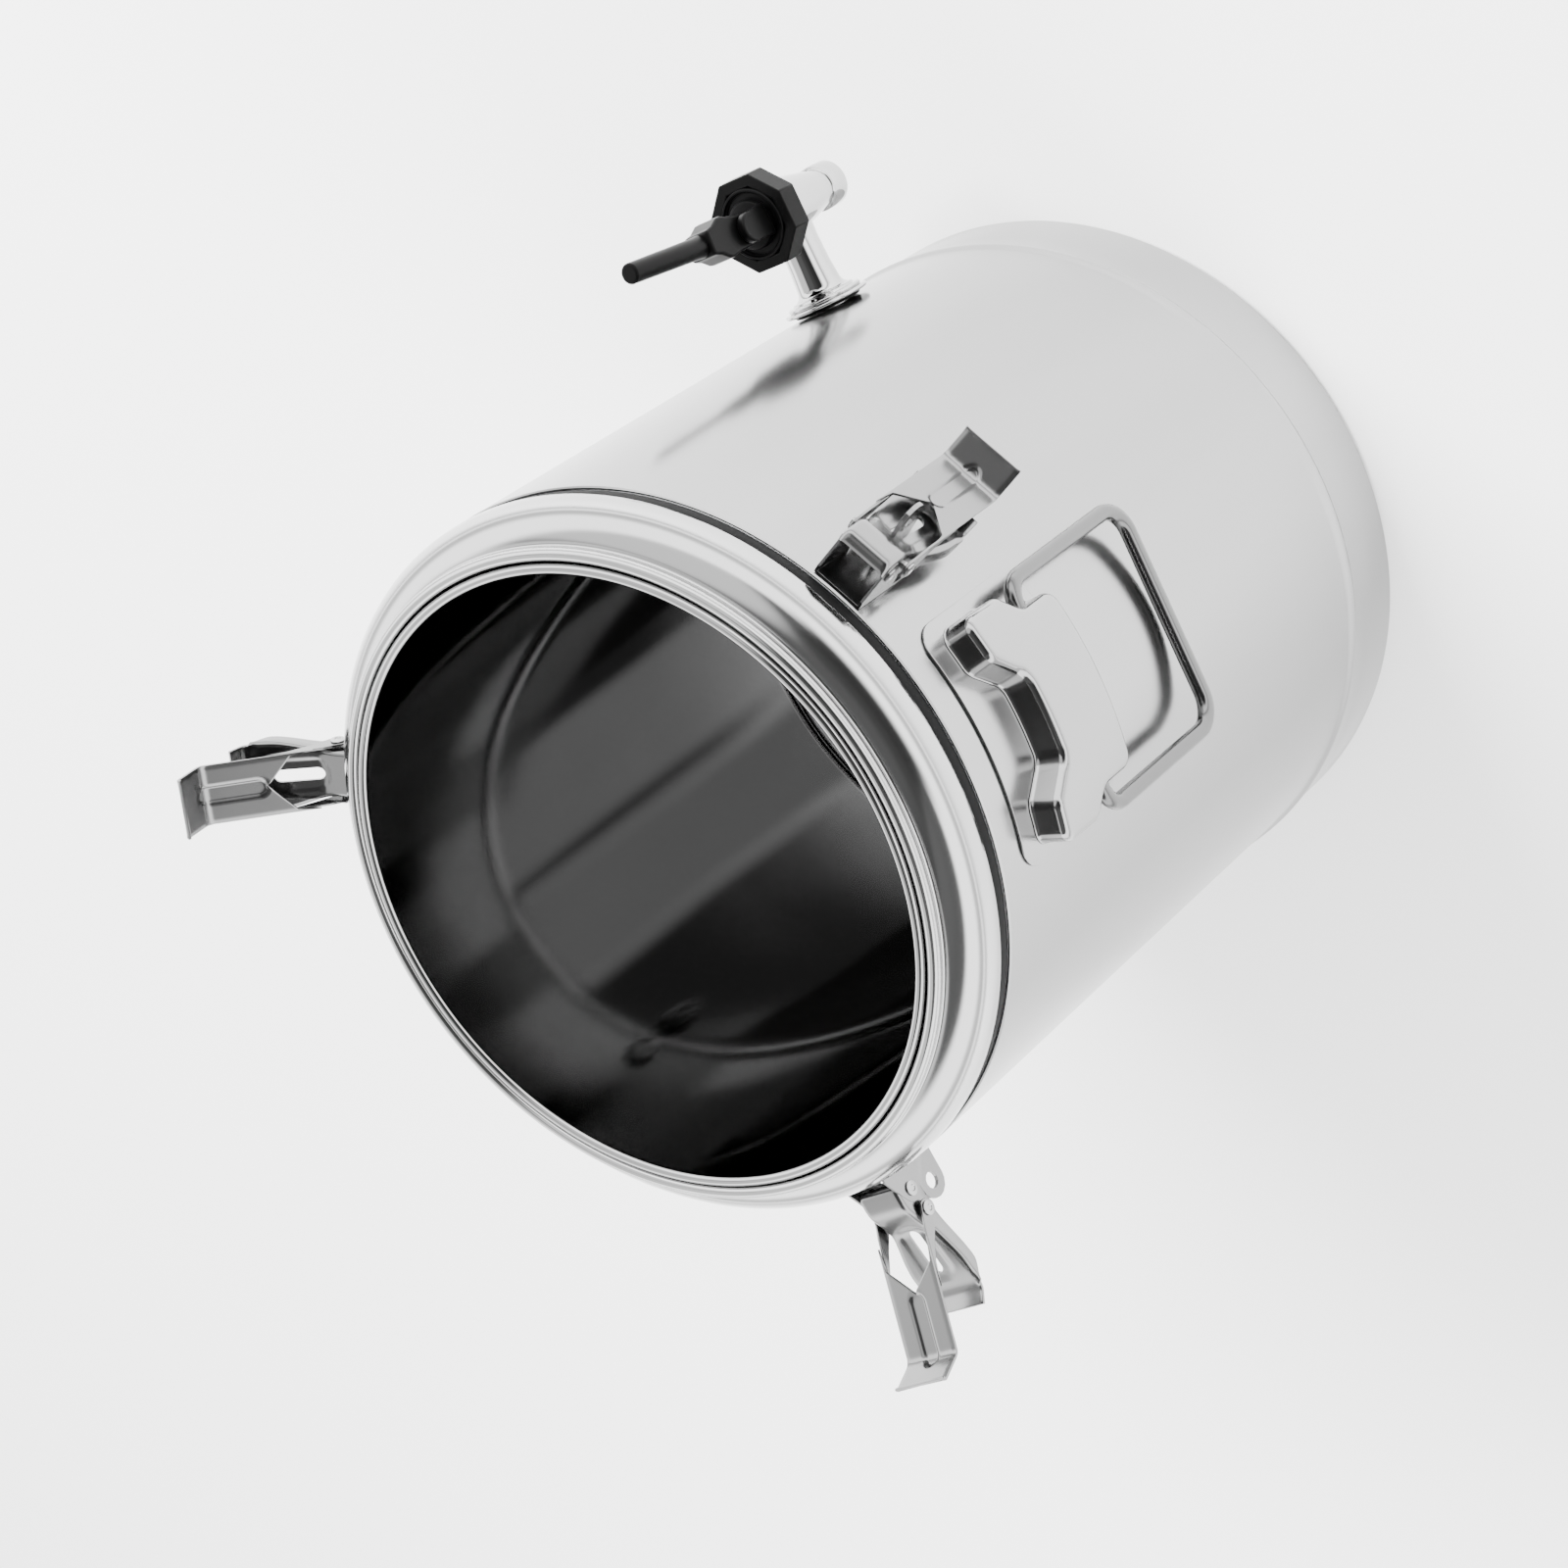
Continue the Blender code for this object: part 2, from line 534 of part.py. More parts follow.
def build_handle(tag, azimuth, col, cutters):
    frame = add_empty(f"handle_{tag}_frame", col, turn_z=math.radians(azimuth))
    name = f"handle_{tag}_plate"
    back = outline_mesh(name, rounded_rectangle(BACK_HALF, BACK_LOW, BACK_HIGH, BACK_CORNER),
                        GAP, GAP + BACK_T)
    wrap(back, 8)
    add_object(name, back, STEEL, col, frame)

    name = f"handle_{tag}_cover"
    foot = 2 * GAP + BACK_T
    body = outline_mesh(name, cover_outline(), foot, foot + COVER_H)
    hollow = outline_mesh(name + "_hollow", cover_outline(COVER_T), foot - 0.002,
                          foot + COVER_H - COVER_T)
    for mesh, inset in ((body, 0.0), (hollow, COVER_T)):
        draft(mesh, foot, inset)
        wrap(mesh, 8)
    cover = add_object(name, body, STAMPED, col, frame)
    boolean(cover, add_cutter(name + "_hollow", hollow, cutters, frame))
    ends = rod_mesh(name + "_ends", BAIL_R + 0.0006, -0.07, 0.07, "Y",
                    (SHELL_R + BAIL_OUT, BAIL_Z), 16)
    boolean(cover, add_cutter(name + "_ends", ends, cutters, frame))

    axis = add_empty(f"handle_{tag}_axis", col, (SHELL_R + BAIL_OUT, 0.0, BAIL_Z), parent=frame)
    build_bail(f"handle_{tag}_bail", col, axis)


def draft(mesh, foot, inset):
    """Lean the walls in by a few millimetres from foot to crown, about the cover's middle."""
    lean = 0.0025
    middle = (COVER_LOW + WAIST_HIGH) / 2
    for vert in mesh.vertices:
        if vert.co.z > foot + COVER_H / 2:
            vert.co.x *= 1.0 - lean / COVER_HALF
            vert.co.y += lean if vert.co.y < middle else -lean


def fillet(points, radius, count):
    """Round each inner corner of an open path of right angles."""
    path = [points[0]]
    for before, here, after in zip(points, points[1:], points[2:]):
        into = [(a - b) for a, b in zip(here, before)]
        out = [(a - b) for a, b in zip(after, here)]
        li, lo = math.hypot(*into), math.hypot(*out)
        start = [h - radius * v / li for h, v in zip(here, into)]
        centre = [s + radius * v / lo for s, v in zip(start, out)]
        for i in range(count):
            turn = math.pi / 2 * i / (count - 1)
            path.append(tuple(c - radius * math.cos(turn) * o / lo + radius * math.sin(turn) * n / li
                              for c, o, n in zip(centre, out, into)))
    return path + [points[-1]]


def build_bail(name, col, axis):
    """The wire bail, hanging from its axis: local Y across, -Z down the shell."""
    corners = [(-BAIL_END, 0.0), (-BAIL_HALF, 0.0), (-BAIL_HALF, -BAIL_DEPTH),
               (BAIL_HALF, -BAIL_DEPTH), (BAIL_HALF, 0.0), (BAIL_END, 0.0)]
    path = fillet(corners[:3], BAIL_CORNER * 0.7, 4)[:-1]
    path += fillet(corners[1:5], BAIL_CORNER, 4)[1:-1]
    path += fillet(corners[3:], BAIL_CORNER * 0.7, 4)[1:]
    curve = bpy.data.curves.new(name, "CURVE")
    curve.dimensions = "3D"
    curve.bevel_depth = BAIL_R
    curve.bevel_resolution = 2
    curve.use_fill_caps = True
    spline = curve.splines.new("POLY")
    spline.points.add(len(path) - 1)
    for point, (y, z) in zip(spline.points, path):
        point.co = (0.0, y, z, 1.0)
    obj = bpy.data.objects.new(name, curve)
    curve.materials.append(material(name + "_material", *STEEL))
    col.objects.link(obj)
    obj.parent = axis


# ---------------------------------------------------------------- tap
CAP_TOP = CAP_LOW + CAP_T
NECK_TOP = CAP_TOP - 0.0035


def x_turned(name, profile, look, col, parent, steps):
    """A turned piece about the X axis of its parent, profile heights running along +X."""
    obj = turned(name, profile, look, col, steps, parent)
    obj.location = (0.0, 0.0, TAP_Z)
    obj.rotation_euler = (0.0, math.pi / 2, 0.0)
    return obj


def ring_profile(outer, inner, low, high, ease=0.0):
    """A ring, its outer far corner eased."""
    return [(inner, high), (outer - ease, high), (outer, high - ease), (outer, low), (inner, low)]


def build_tap(col, cutters):
    turn = math.radians(TAP_AZ)
    frame = add_empty("tap_frame", col, (SHELL_R * math.cos(turn), SHELL_R * math.sin(turn), 0.0),
                      turn_z=turn)
    bore = THREAD_R + 2 * GAP
    flange_low = GASKET_T + 3 * GAP
    flange_top = flange_low + FLANGE_T
    x_turned("tap_gasket", ring_profile(GASKET_R, bore, 2 * GAP, GASKET_T + 2 * GAP),
             RUBBER, col, frame, 20)
    x_turned("tap_flange", ring_profile(FLANGE_R, bore, flange_low, flange_top, 0.0015),
             CHROME, col, frame, 24)

    # inside the liner: washer, hexagon nut and the end of the thread
    wall_in = MOUTH_R - SHELL_R
    sagitta = MOUTH_R - math.sqrt(MOUTH_R ** 2 - WASHER_R ** 2)
    washer_out = wall_in - sagitta - 2 * GAP
    washer_in = washer_out - 0.0018
    x_turned("tap_inner_washer", ring_profile(WASHER_R, bore, washer_in, washer_out),
             RUBBER, col, frame, 20)
    nut_out = washer_in - GAP
    nut_in = nut_out - NUT_T
    corner = NUT_AF / math.sqrt(3.0)
    nut = x_turned("tap_inner_nut", [
        (0.0, nut_out), (corner, nut_out), (corner, nut_in + 0.001), (corner - 0.001, nut_in),
        (0.0, nut_in)], STEEL, col, frame, 6)
    bore_mesh = rod_mesh("tap_nut_bore", bore, nut_in - 0.01, nut_out + 0.01, "X", (0.0, TAP_Z))
    boolean(nut, add_cutter("tap_nut_bore", bore_mesh, cutters, frame))
    thread_end = nut_in - 0.004
    x_turned("tap_shank", ring_profile(THREAD_R, THREAD_BORE, thread_end, flange_top, 0.0),
             STEEL, col, frame, 20)

    upright = add_empty("tap_upright", col, (TAP_OUT, 0.0, TAP_Z), parent=frame)
    build_tap_body(col, cutters, upright, flange_top + GAP)
    build_tap_head(col, cutters, upright)


def build_tap_body(col, cutters, upright, inlet):
    """The casting: upright barrel, spout and inlet branch, bored through."""
    shoulder = CAP_LOW - GAP
    body = turned("tap_body", [
        (0.0, NECK_TOP), (NECK_R, NECK_TOP), (NECK_R, shoulder), (NECK_R + 0.0015, shoulder),
        (NECK_R + 0.0015, shoulder - 0.003), (SPOUT_R + 0.0006, -0.024), (SPOUT_R, -0.030),
        (SPOUT_R, SPOUT_END), (0.0, SPOUT_END)], CHROME, col, 20, upright)
    branch_from = inlet - TAP_OUT
    profile = [(0.0, -0.008), (0.0100, -0.008), (0.0105, branch_from + 0.012),
               (0.0120, branch_from + 0.004), (0.0150, branch_from), (0.0, branch_from)]
    branch = turned_cutter("tap_branch", profile, cutters, 16, upright)
    branch.rotation_euler = (0.0, math.pi / 2, 0.0)
    boolean(body, branch, "UNION")
    chamber = [(0.0, 0.05), (0.0130, 0.05), (0.0130, -0.006), (0.0080, -0.008),
               (0.0080, -0.012), (SPOUT_R - 0.0022, -0.020), (SPOUT_R - 0.0022, SPOUT_END - 0.01),
               (0.0, SPOUT_END - 0.01)]
    boolean(body, turned_cutter("tap_chamber", chamber, cutters, 16, upright))
    inlet_bore = rod_mesh("tap_inlet_bore", THREAD_BORE, branch_from - 0.01, -0.006, "X")
    boolean(body, add_cutter("tap_inlet_bore", inlet_bore, cutters, upright))


def build_tap_head(col, cutters, upright):
    """Octagon cap nut, bonnet with two ears, lever on its pin, and the plunger."""
    lip = CAP_TOP - 0.0026
    cap = turned("tap_cap_nut", [
        (0.0, CAP_TOP), (CAP_R - 0.0008, CAP_TOP), (CAP_R, CAP_TOP - 0.0008),
        (CAP_R, CAP_LOW), (0.0, CAP_LOW)], BLACK, col, 8, upright)
    boolean(cap, turned_cutter("tap_cap_bore", [
        (0.0, CAP_TOP + 0.01), (BOSS_R + 2 * GAP, CAP_TOP + 0.01), (BOSS_R + 2 * GAP, lip),
        (NECK_R + 2 * GAP, lip), (NECK_R + 2 * GAP, CAP_LOW - 0.01), (0.0, CAP_LOW - 0.01)],
        cutters, 16, upright))

    stem_r, stem_hole = 0.0024, 0.0028
    boss_top = CAP_TOP + 0.003
    bonnet = turned("tap_bonnet", [
        (stem_hole, boss_top), (BOSS_R - 0.001, boss_top), (BOSS_R, boss_top - 0.001),
        (BOSS_R, lip - GAP), (NECK_R - 0.0008, lip - GAP), (NECK_R - 0.0008, NECK_TOP + GAP),
        (stem_hole, NECK_TOP + GAP)], BLACK, col, 16, upright)
    ear = ([(-0.0080, boss_top - 0.0006), (0.0080, boss_top - 0.0006)]
           + arc(0.0, PIVOT_UP, 0.0075, -20.0, 200.0, 7))
    for side, start in (("near", EAR_IN), ("far", -EAR_IN - EAR_T)):
        mesh = outline_mesh(f"tap_ear_{side}", ear, start, start + EAR_T, "XZ")
        boolean(bonnet, add_cutter(f"tap_ear_{side}", mesh, cutters, upright), "UNION")
    boolean(bonnet, pin_hole("tap_ear_bore", cutters, 0.0, PIVOT_UP, TAP_PIN_R + PIN_FIT,
                             upright))
    trim = turned_cutter("tap_ear_trim", [
        (0.05, 0.10), (0.05, boss_top), (0.0136, boss_top), (0.0136, 0.10)], cutters, 16, upright)
    boolean(bonnet, trim)

    pivot = add_empty("tap_lever_pivot", col, (0.0, 0.0, PIVOT_UP),
                      turn_y=math.radians(LEVER_LEAN), parent=upright)
    build_tap_lever(col, cutters, pivot)
    pin_half = EAR_IN + EAR_T - 0.0010
    pin = rod_mesh("tap_lever_pin", TAP_PIN_R, -pin_half, pin_half, "Y", sides=PIN_SIDES)
    add_object("tap_lever_pin", pin, STAMPED, col, pivot)

    stem_top = PIVOT_UP - TAP_PIN_R - PLUNGER_LIFT - 2 * GAP
    turned("tap_plunger", [
        (0.0, stem_top), (stem_r, stem_top), (stem_r, 0.004), (0.0100, 0.002),
        (0.0105, -0.0030), (0.0070, -0.0058), (0.0, -0.0058)], RUBBER, col, 16, upright)


def build_tap_lever(col, cutters, pivot):
    """Forked hub on the pin, narrowing into a round rod; local Z runs up the lever."""
    hub_half = EAR_IN - GAP
    reach = LEVER_TOP - PIVOT_UP
    hub = (arc(0.0, 0.0, HUB_R, 180.0, 360.0, 9)
           + [(0.0090, 0.012), (0.0060, 0.026), (-0.0060, 0.026), (-0.0090, 0.012)])
    lever = add_object("tap_lever", outline_mesh("tap_lever", hub, -hub_half, hub_half, "XZ"),
                       BLACK, col, pivot)
    rod = turned_cutter("tap_lever_rod", [
        (0.0, reach), (ROD_R - 0.0012, reach), (ROD_R - 0.0002, reach - 0.0012),
        (ROD_R + 0.0004, 0.030), (0.0062, 0.020), (0.0, 0.020)], cutters, 16, pivot)
    boolean(lever, rod, "UNION")
    fork = box_mesh("tap_lever_fork", (-0.02, -0.0034, -0.02), (0.02, 0.0034, 0.0085))
    boolean(lever, add_cutter("tap_lever_fork", fork, cutters, pivot))
    boolean(lever, pin_hole("tap_lever_bore", cutters, 0.0, 0.0, TAP_PIN_R + PIN_FIT, pivot))


# ---------------------------------------------------------------- assembly
def main():
    clear_scene()
    col = new_collection("insulated_drinks_barrel")
    cutters = new_collection("cutters")
    build_barrel(col, cutters)
    for tag, (azimuth, lever_angle, hook_angle) in LATCHES.items():
        build_latch(tag, azimuth, lever_angle, hook_angle, col, cutters)
    for tag, azimuth in HANDLES.items():
        build_handle(tag, azimuth, col, cutters)
    build_tap(col, cutters)


main()
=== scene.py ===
import math

import bmesh
import bpy
from mathutils import Matrix, Vector


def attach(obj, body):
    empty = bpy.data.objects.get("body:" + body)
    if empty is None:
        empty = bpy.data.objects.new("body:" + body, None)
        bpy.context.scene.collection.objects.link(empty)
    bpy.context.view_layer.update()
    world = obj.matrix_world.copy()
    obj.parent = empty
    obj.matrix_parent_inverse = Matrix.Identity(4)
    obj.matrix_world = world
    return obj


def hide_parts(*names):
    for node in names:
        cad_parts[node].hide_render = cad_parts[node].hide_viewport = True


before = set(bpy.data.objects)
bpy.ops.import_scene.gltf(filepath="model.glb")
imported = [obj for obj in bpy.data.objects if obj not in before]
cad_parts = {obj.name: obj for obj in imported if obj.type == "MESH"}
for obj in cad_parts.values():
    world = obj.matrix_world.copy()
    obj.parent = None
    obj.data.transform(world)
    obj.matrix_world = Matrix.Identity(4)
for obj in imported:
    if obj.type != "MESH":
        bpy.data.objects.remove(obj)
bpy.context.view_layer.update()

# ------------------------------------------------------------------ camera, floor and light
# A plain pale floor under soft studio light.  The barrel stands upright and is seen from well
# above its handle side, with the camera turned so that the mouth points down to the left.
EYE = Vector((-1.1163, -0.3025, 1.5332))
LOOK = Vector((0.65657, 0.18148, -0.73211))
IMAGE_DOWN = Vector((0.21449, 0.88563, 0.41190))
LENS = 85.94
FLOOR_HALF = 6.0


def deselect_all():
    for obj in bpy.context.selected_objects:
        obj.select_set(False)
    bpy.context.view_layer.objects.active = None


camera = bpy.data.objects.new("camera", bpy.data.cameras.new("camera"))
bpy.context.scene.collection.objects.link(camera)
camera.data.lens = LENS
camera.data.sensor_width = 36.0
camera.data.clip_start, camera.data.clip_end = 0.05, 50.0
right = IMAGE_DOWN.cross(LOOK).normalized()
down = LOOK.cross(right).normalized()
camera.matrix_world = Matrix.Translation(EYE) @ Matrix((right, -down, -LOOK)).transposed().to_4x4()
bpy.context.scene.camera = camera

deselect_all()
bpy.ops.mesh.primitive_plane_add(size=2 * FLOOR_HALF, location=(0, 0, -0.0002))
floor = bpy.context.active_object
floor.name = "floor"
floor_look = bpy.data.materials.new("pale_floor")
floor_look.use_nodes = True
floor_shader = floor_look.node_tree.nodes["Principled BSDF"]
floor_shader.inputs["Base Color"].default_value = (0.9, 0.9, 0.9, 1)
floor_shader.inputs["Roughness"].default_value = 0.85
floor_shader.inputs["Specular IOR Level"].default_value = 0.1
floor.data.materials.append(floor_look)

# The room that the steel mirrors: pale walls with a grey band just above the floor, and a
# near-black hood overhead that comes lower before and behind the camera.  Two grey openings in
# the hood light the inside of the barrel.
ROOM_BRIGHT = 5.4
world = bpy.data.worlds.new("studio")
bpy.context.scene.world = world
world.use_nodes = True
nodes, links = world.node_tree.nodes, world.node_tree.links
nodes.clear()
direction = nodes.new("ShaderNodeTexCoord")


def toward(axis, absolute=False):
    """How far the looked-at direction leans toward an axis, from -1 to 1."""
    dot = nodes.new("ShaderNodeVectorMath")
    dot.operation = "DOT_PRODUCT"
    dot.inputs[1].default_value = axis
    links.new(direction.outputs["Generated"], dot.inputs[0])
    if not absolute:
        return dot.outputs["Value"]
    size = nodes.new("ShaderNodeMath")
    size.operation = "ABSOLUTE"
    links.new(dot.outputs["Value"], size.inputs[0])
    return size.outputs["Value"]


def ramp(value, *stops):
    """A soft grey ramp through (position, grey) stops."""
    shade = nodes.new("ShaderNodeValToRGB")
    shade.color_ramp.interpolation = "EASE"
    elements = shade.color_ramp.elements
    for index, (position, grey) in enumerate(stops):
        element = elements[index] if index < 2 else elements.new(position)
        element.position = position
        element.color = (grey, grey, grey, 1)
    links.new(value, shade.inputs["Fac"])
    return shade.outputs["Color"]


def blend_colours(kind, factor, low, high):
    mix = nodes.new("ShaderNodeMix")
    mix.data_type = "RGBA"
    mix.blend_type = kind
    for socket, value in (("Factor", factor), ("A", low), ("B", high)):
        if isinstance(value, bpy.types.NodeSocket):
            links.new(value, mix.inputs[socket])
        else:
            mix.inputs[socket].default_value = value
    return mix.outputs["Result"]


side_axis = Vector((LOOK.y, -LOOK.x, 0.0)).normalized()
overhead = ramp(toward((0, 0, 1)), (0.42, 0.0), (0.66, 1.0))
between = ramp(toward(side_axis, absolute=True), (0.30, 1.0), (0.56, 0.0))
hood = ramp(toward((0, 0, 1)), (0.72, 0.012), (0.80, 0.014), (0.93, 0.024), (1.0, 0.04))
beyond = Vector((LOOK.x, LOOK.y, -LOOK.z))
beside = side_axis * 0.68 + Vector((0.0, 0.0, 0.73))
for way in (beyond, beside):
    opening = ramp(toward(way), (0.84, 0.0), (0.92, 0.34))
    hood = blend_colours("LIGHTEN", 1.0, hood, opening)
horizon = ramp(toward((0, 0, 1)), (0.0, 0.85), (0.05, 0.30), (0.13, 0.34), (0.30, 1.0))
canopy = blend_colours("MULTIPLY", 1.0, overhead, between)
hood_crown = ramp(toward((0, 0, 1)), (0.60, 0.0), (0.71, 0.97))
shade = blend_colours("LIGHTEN", 1.0, canopy, hood_crown)
room = blend_colours("MIX", shade, horizon, hood)
background = nodes.new("ShaderNodeBackground")
background.inputs["Strength"].default_value = ROOM_BRIGHT
links.new(room, background.inputs["Color"])
output = nodes.new("ShaderNodeOutputWorld")
links.new(background.outputs["Background"], output.inputs["Surface"])


def soft_box(name, place, target, width, depth, power):
    light = bpy.data.lights.new(name, "AREA")
    light.shape = "RECTANGLE"
    light.size, light.size_y = width, depth
    light.energy = power
    holder = bpy.data.objects.new(name, light)
    bpy.context.scene.collection.objects.link(holder)
    holder.location = place
    holder.visible_glossy = False
    holder.rotation_mode = "QUATERNION"
    holder.rotation_quaternion = (Vector(target) - Vector(place)).to_track_quat("-Z", "Y")
    return holder


BARREL_MIDDLE = (0, 0, 0.2)
soft_box("key_light", (0.4, -1.8, 1.9), BARREL_MIDDLE, width=1.6, depth=1.0, power=270.0)
soft_box("fill_light", (-0.6, 2.0, 1.4), BARREL_MIDDLE, width=1.2, depth=1.2, power=110.0)

# ------------------------------------------------------------------ barrel: shell, collar, liner
# A double-walled stainless steel barrel.  The outer shell and the collar are polished sheet,
# spun and rolled; a black rubber ring closes the seam between them, and the deep-drawn liner
# hangs from the mouth on its own rolled edge.
SHELL_R = 0.170
SHELL_LOW = 0.0008
SEAM_LOW, SEAM_HIGH = 0.3730, 0.3805
MOUTH_R = 0.1434
HEIGHT = 0.4080
ROUND_STEPS = 192


def arc(cx, cy, radius, start, end, count):
    """Points on an arc in a flat plane, angles in degrees."""
    return [(cx + radius * math.cos(math.radians(start + (end - start) * i / (count - 1))),
             cy + radius * math.sin(math.radians(start + (end - start) * i / (count - 1))))
            for i in range(count)]


def begin(name, first):
    """Leave edit mode open on a new mesh of a single vertex at the given point."""
    deselect_all()
    bpy.ops.mesh.primitive_plane_add(size=0.001)
    obj = bpy.context.active_object
    obj.name = name
    obj.data.name = name
    bpy.ops.object.mode_set(mode="EDIT")
    bpy.ops.mesh.select_all(action="SELECT")
    bpy.ops.mesh.merge(type="CENTER")
    bpy.ops.transform.translate(value=first)
    return obj


def trace(points, closed=True):
    """Extrude a vertex from point to point, and back to the first one for a closed line."""
    stops = list(points) + list(points[:1]) * closed
    for before, after in zip(stops, stops[1:]):
        step = [b - a for a, b in zip(before, after)]
        bpy.ops.mesh.extrude_region_move(TRANSFORM_OT_translate={"value": step})
    bpy.ops.mesh.select_all(action="SELECT")
    if closed:
        bpy.ops.mesh.remove_doubles(threshold=0.000001)


def finish_mesh(merge=0.000005, smooth=35.0):
    """Weld, face outwards, leave edit mode and shade smooth between the sharp edges."""
    bpy.ops.mesh.select_all(action="SELECT")
    bpy.ops.mesh.remove_doubles(threshold=merge)
    bpy.ops.mesh.normals_make_consistent(inside=False)
    bpy.ops.object.mode_set(mode="OBJECT")
    obj = bpy.context.active_object
    bpy.ops.object.shade_smooth_by_angle(angle=math.radians(smooth))
    return obj


def lathe(name, profile, steps=ROUND_STEPS):
    """Spin a line of (radius, height) points about Z; a line off the axis is closed first."""
    points = [(r, 0.0, z) for r, z in profile]
    on_axis = profile[0][0] == 0.0 and profile[-1][0] == 0.0
    begin(name, points[0])
    trace(points, closed=not on_axis)
    bpy.ops.mesh.spin(steps=steps, angle=math.tau, center=(0, 0, 0), axis=(0, 0, 1))
    return finish_mesh()


def steel(name, tint, rough, spread, waviness, grain=(1.0, 1.0, 1.0), grain_depth=0.0,
          streak=(1.0, 1.0, 1.0), mottle=0.05):
    """Bare steel: uneven polish, slow waves in the sheet, and fine lines where it was rubbed."""
    mat = bpy.data.materials.new(name)
    mat.use_nodes = True
    tree = mat.node_tree
    shader = tree.nodes["Principled BSDF"]
    shader.inputs["Metallic"].default_value = 1.0
    place = tree.nodes.new("ShaderNodeTexCoord")
    cloud = tree.nodes.new("ShaderNodeTexNoise")
    cloud.inputs["Scale"].default_value = 9.0
    cloud.inputs["Detail"].default_value = 5.0
    drawn = tree.nodes.new("ShaderNodeMapping")
    drawn.inputs["Scale"].default_value = streak
    tree.links.new(place.outputs["Object"], drawn.inputs["Vector"])
    tree.links.new(drawn.outputs["Vector"], cloud.inputs["Vector"])
    polish = tree.nodes.new("ShaderNodeMapRange")
    polish.inputs["To Min"].default_value = rough - spread
    polish.inputs["To Max"].default_value = rough + spread
    tree.links.new(cloud.outputs["Fac"], polish.inputs["Value"])
    tree.links.new(polish.outputs["Result"], shader.inputs["Roughness"])
    colour = tree.nodes.new("ShaderNodeMix")
    colour.data_type = "RGBA"
    colour.inputs["A"].default_value = (*[tint * (1 - mottle)] * 3, 1)
    colour.inputs["B"].default_value = (*[tint * (1 + mottle)] * 3, 1)
    tree.links.new(cloud.outputs["Fac"], colour.inputs["Factor"])
    tree.links.new(colour.outputs["Result"], shader.inputs["Base Color"])
    wave = tree.nodes.new("ShaderNodeTexNoise")
    wave.inputs["Scale"].default_value = 7.0
    wave.inputs["Detail"].default_value = 1.0
    tree.links.new(place.outputs["Object"], wave.inputs["Vector"])
    swell = tree.nodes.new("ShaderNodeBump")
    swell.inputs["Strength"].default_value = 1.0
    swell.inputs["Distance"].default_value = waviness
    tree.links.new(wave.outputs["Fac"], swell.inputs["Height"])
    lines = tree.nodes.new("ShaderNodeTexNoise")
    lines.inputs["Scale"].default_value = 60.0
    lines.inputs["Detail"].default_value = 6.0
    stretch = tree.nodes.new("ShaderNodeMapping")
    stretch.inputs["Scale"].default_value = grain
    tree.links.new(place.outputs["Object"], stretch.inputs["Vector"])
    tree.links.new(stretch.outputs["Vector"], lines.inputs["Vector"])
    rub = tree.nodes.new("ShaderNodeBump")
    rub.inputs["Strength"].default_value = 1.0
    rub.inputs["Distance"].default_value = grain_depth
    tree.links.new(lines.outputs["Fac"], rub.inputs["Height"])
    tree.links.new(swell.outputs["Normal"], rub.inputs["Normal"])
    tree.links.new(rub.outputs["Normal"], shader.inputs["Normal"])
    return mat


def moulded(name, tint, rough, spread, grain_scale, grain_depth, shine=0.5):
    """Rubber, plastic or foam: a little uneven in sheen and shade, with a fine grain."""
    mat = bpy.data.materials.new(name)
    mat.use_nodes = True
    tree = mat.node_tree
    shader = tree.nodes["Principled BSDF"]
    shader.inputs["Specular IOR Level"].default_value = shine
    place = tree.nodes.new("ShaderNodeTexCoord")
    cloud = tree.nodes.new("ShaderNodeTexNoise")
    cloud.inputs["Scale"].default_value = 60.0
    cloud.inputs["Detail"].default_value = 6.0
    tree.links.new(place.outputs["Object"], cloud.inputs["Vector"])
    sheen = tree.nodes.new("ShaderNodeMapRange")
    sheen.inputs["To Min"].default_value = rough - spread
    sheen.inputs["To Max"].default_value = rough + spread
    tree.links.new(cloud.outputs["Fac"], sheen.inputs["Value"])
    tree.links.new(sheen.outputs["Result"], shader.inputs["Roughness"])
    colour = tree.nodes.new("ShaderNodeMix")
    colour.data_type = "RGBA"
    colour.inputs["A"].default_value = (tint * 0.7, tint * 0.7, tint * 0.72, 1)
    colour.inputs["B"].default_value = (tint * 1.3, tint * 1.3, tint * 1.32, 1)
    tree.links.new(cloud.outputs["Fac"], colour.inputs["Factor"])
    tree.links.new(colour.outputs["Result"], shader.inputs["Base Color"])
    grain = tree.nodes.new("ShaderNodeTexNoise")
    grain.inputs["Scale"].default_value = grain_scale
    grain.inputs["Detail"].default_value = 4.0
    tree.links.new(place.outputs["Object"], grain.inputs["Vector"])
    bump = tree.nodes.new("ShaderNodeBump")
    bump.inputs["Distance"].default_value = grain_depth
    tree.links.new(grain.outputs["Fac"], bump.inputs["Height"])
    tree.links.new(bump.outputs["Normal"], shader.inputs["Normal"])
    return mat


def dress(obj, mat, body, slot_name, *stands_for):
    """Give a finished piece its material and body, and hide the CAD nodes it stands for. The slot name
    is not used.
    """
    obj.data.materials.clear()
    obj.data.materials.append(mat)
    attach(obj, body)
    if stands_for:
        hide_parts(*stands_for)
    return obj


def finish_node(name, mat):
    """Give a carried-over node its material."""
    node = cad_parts[name]
    node.data.materials.clear()
    node.data.materials.append(mat)


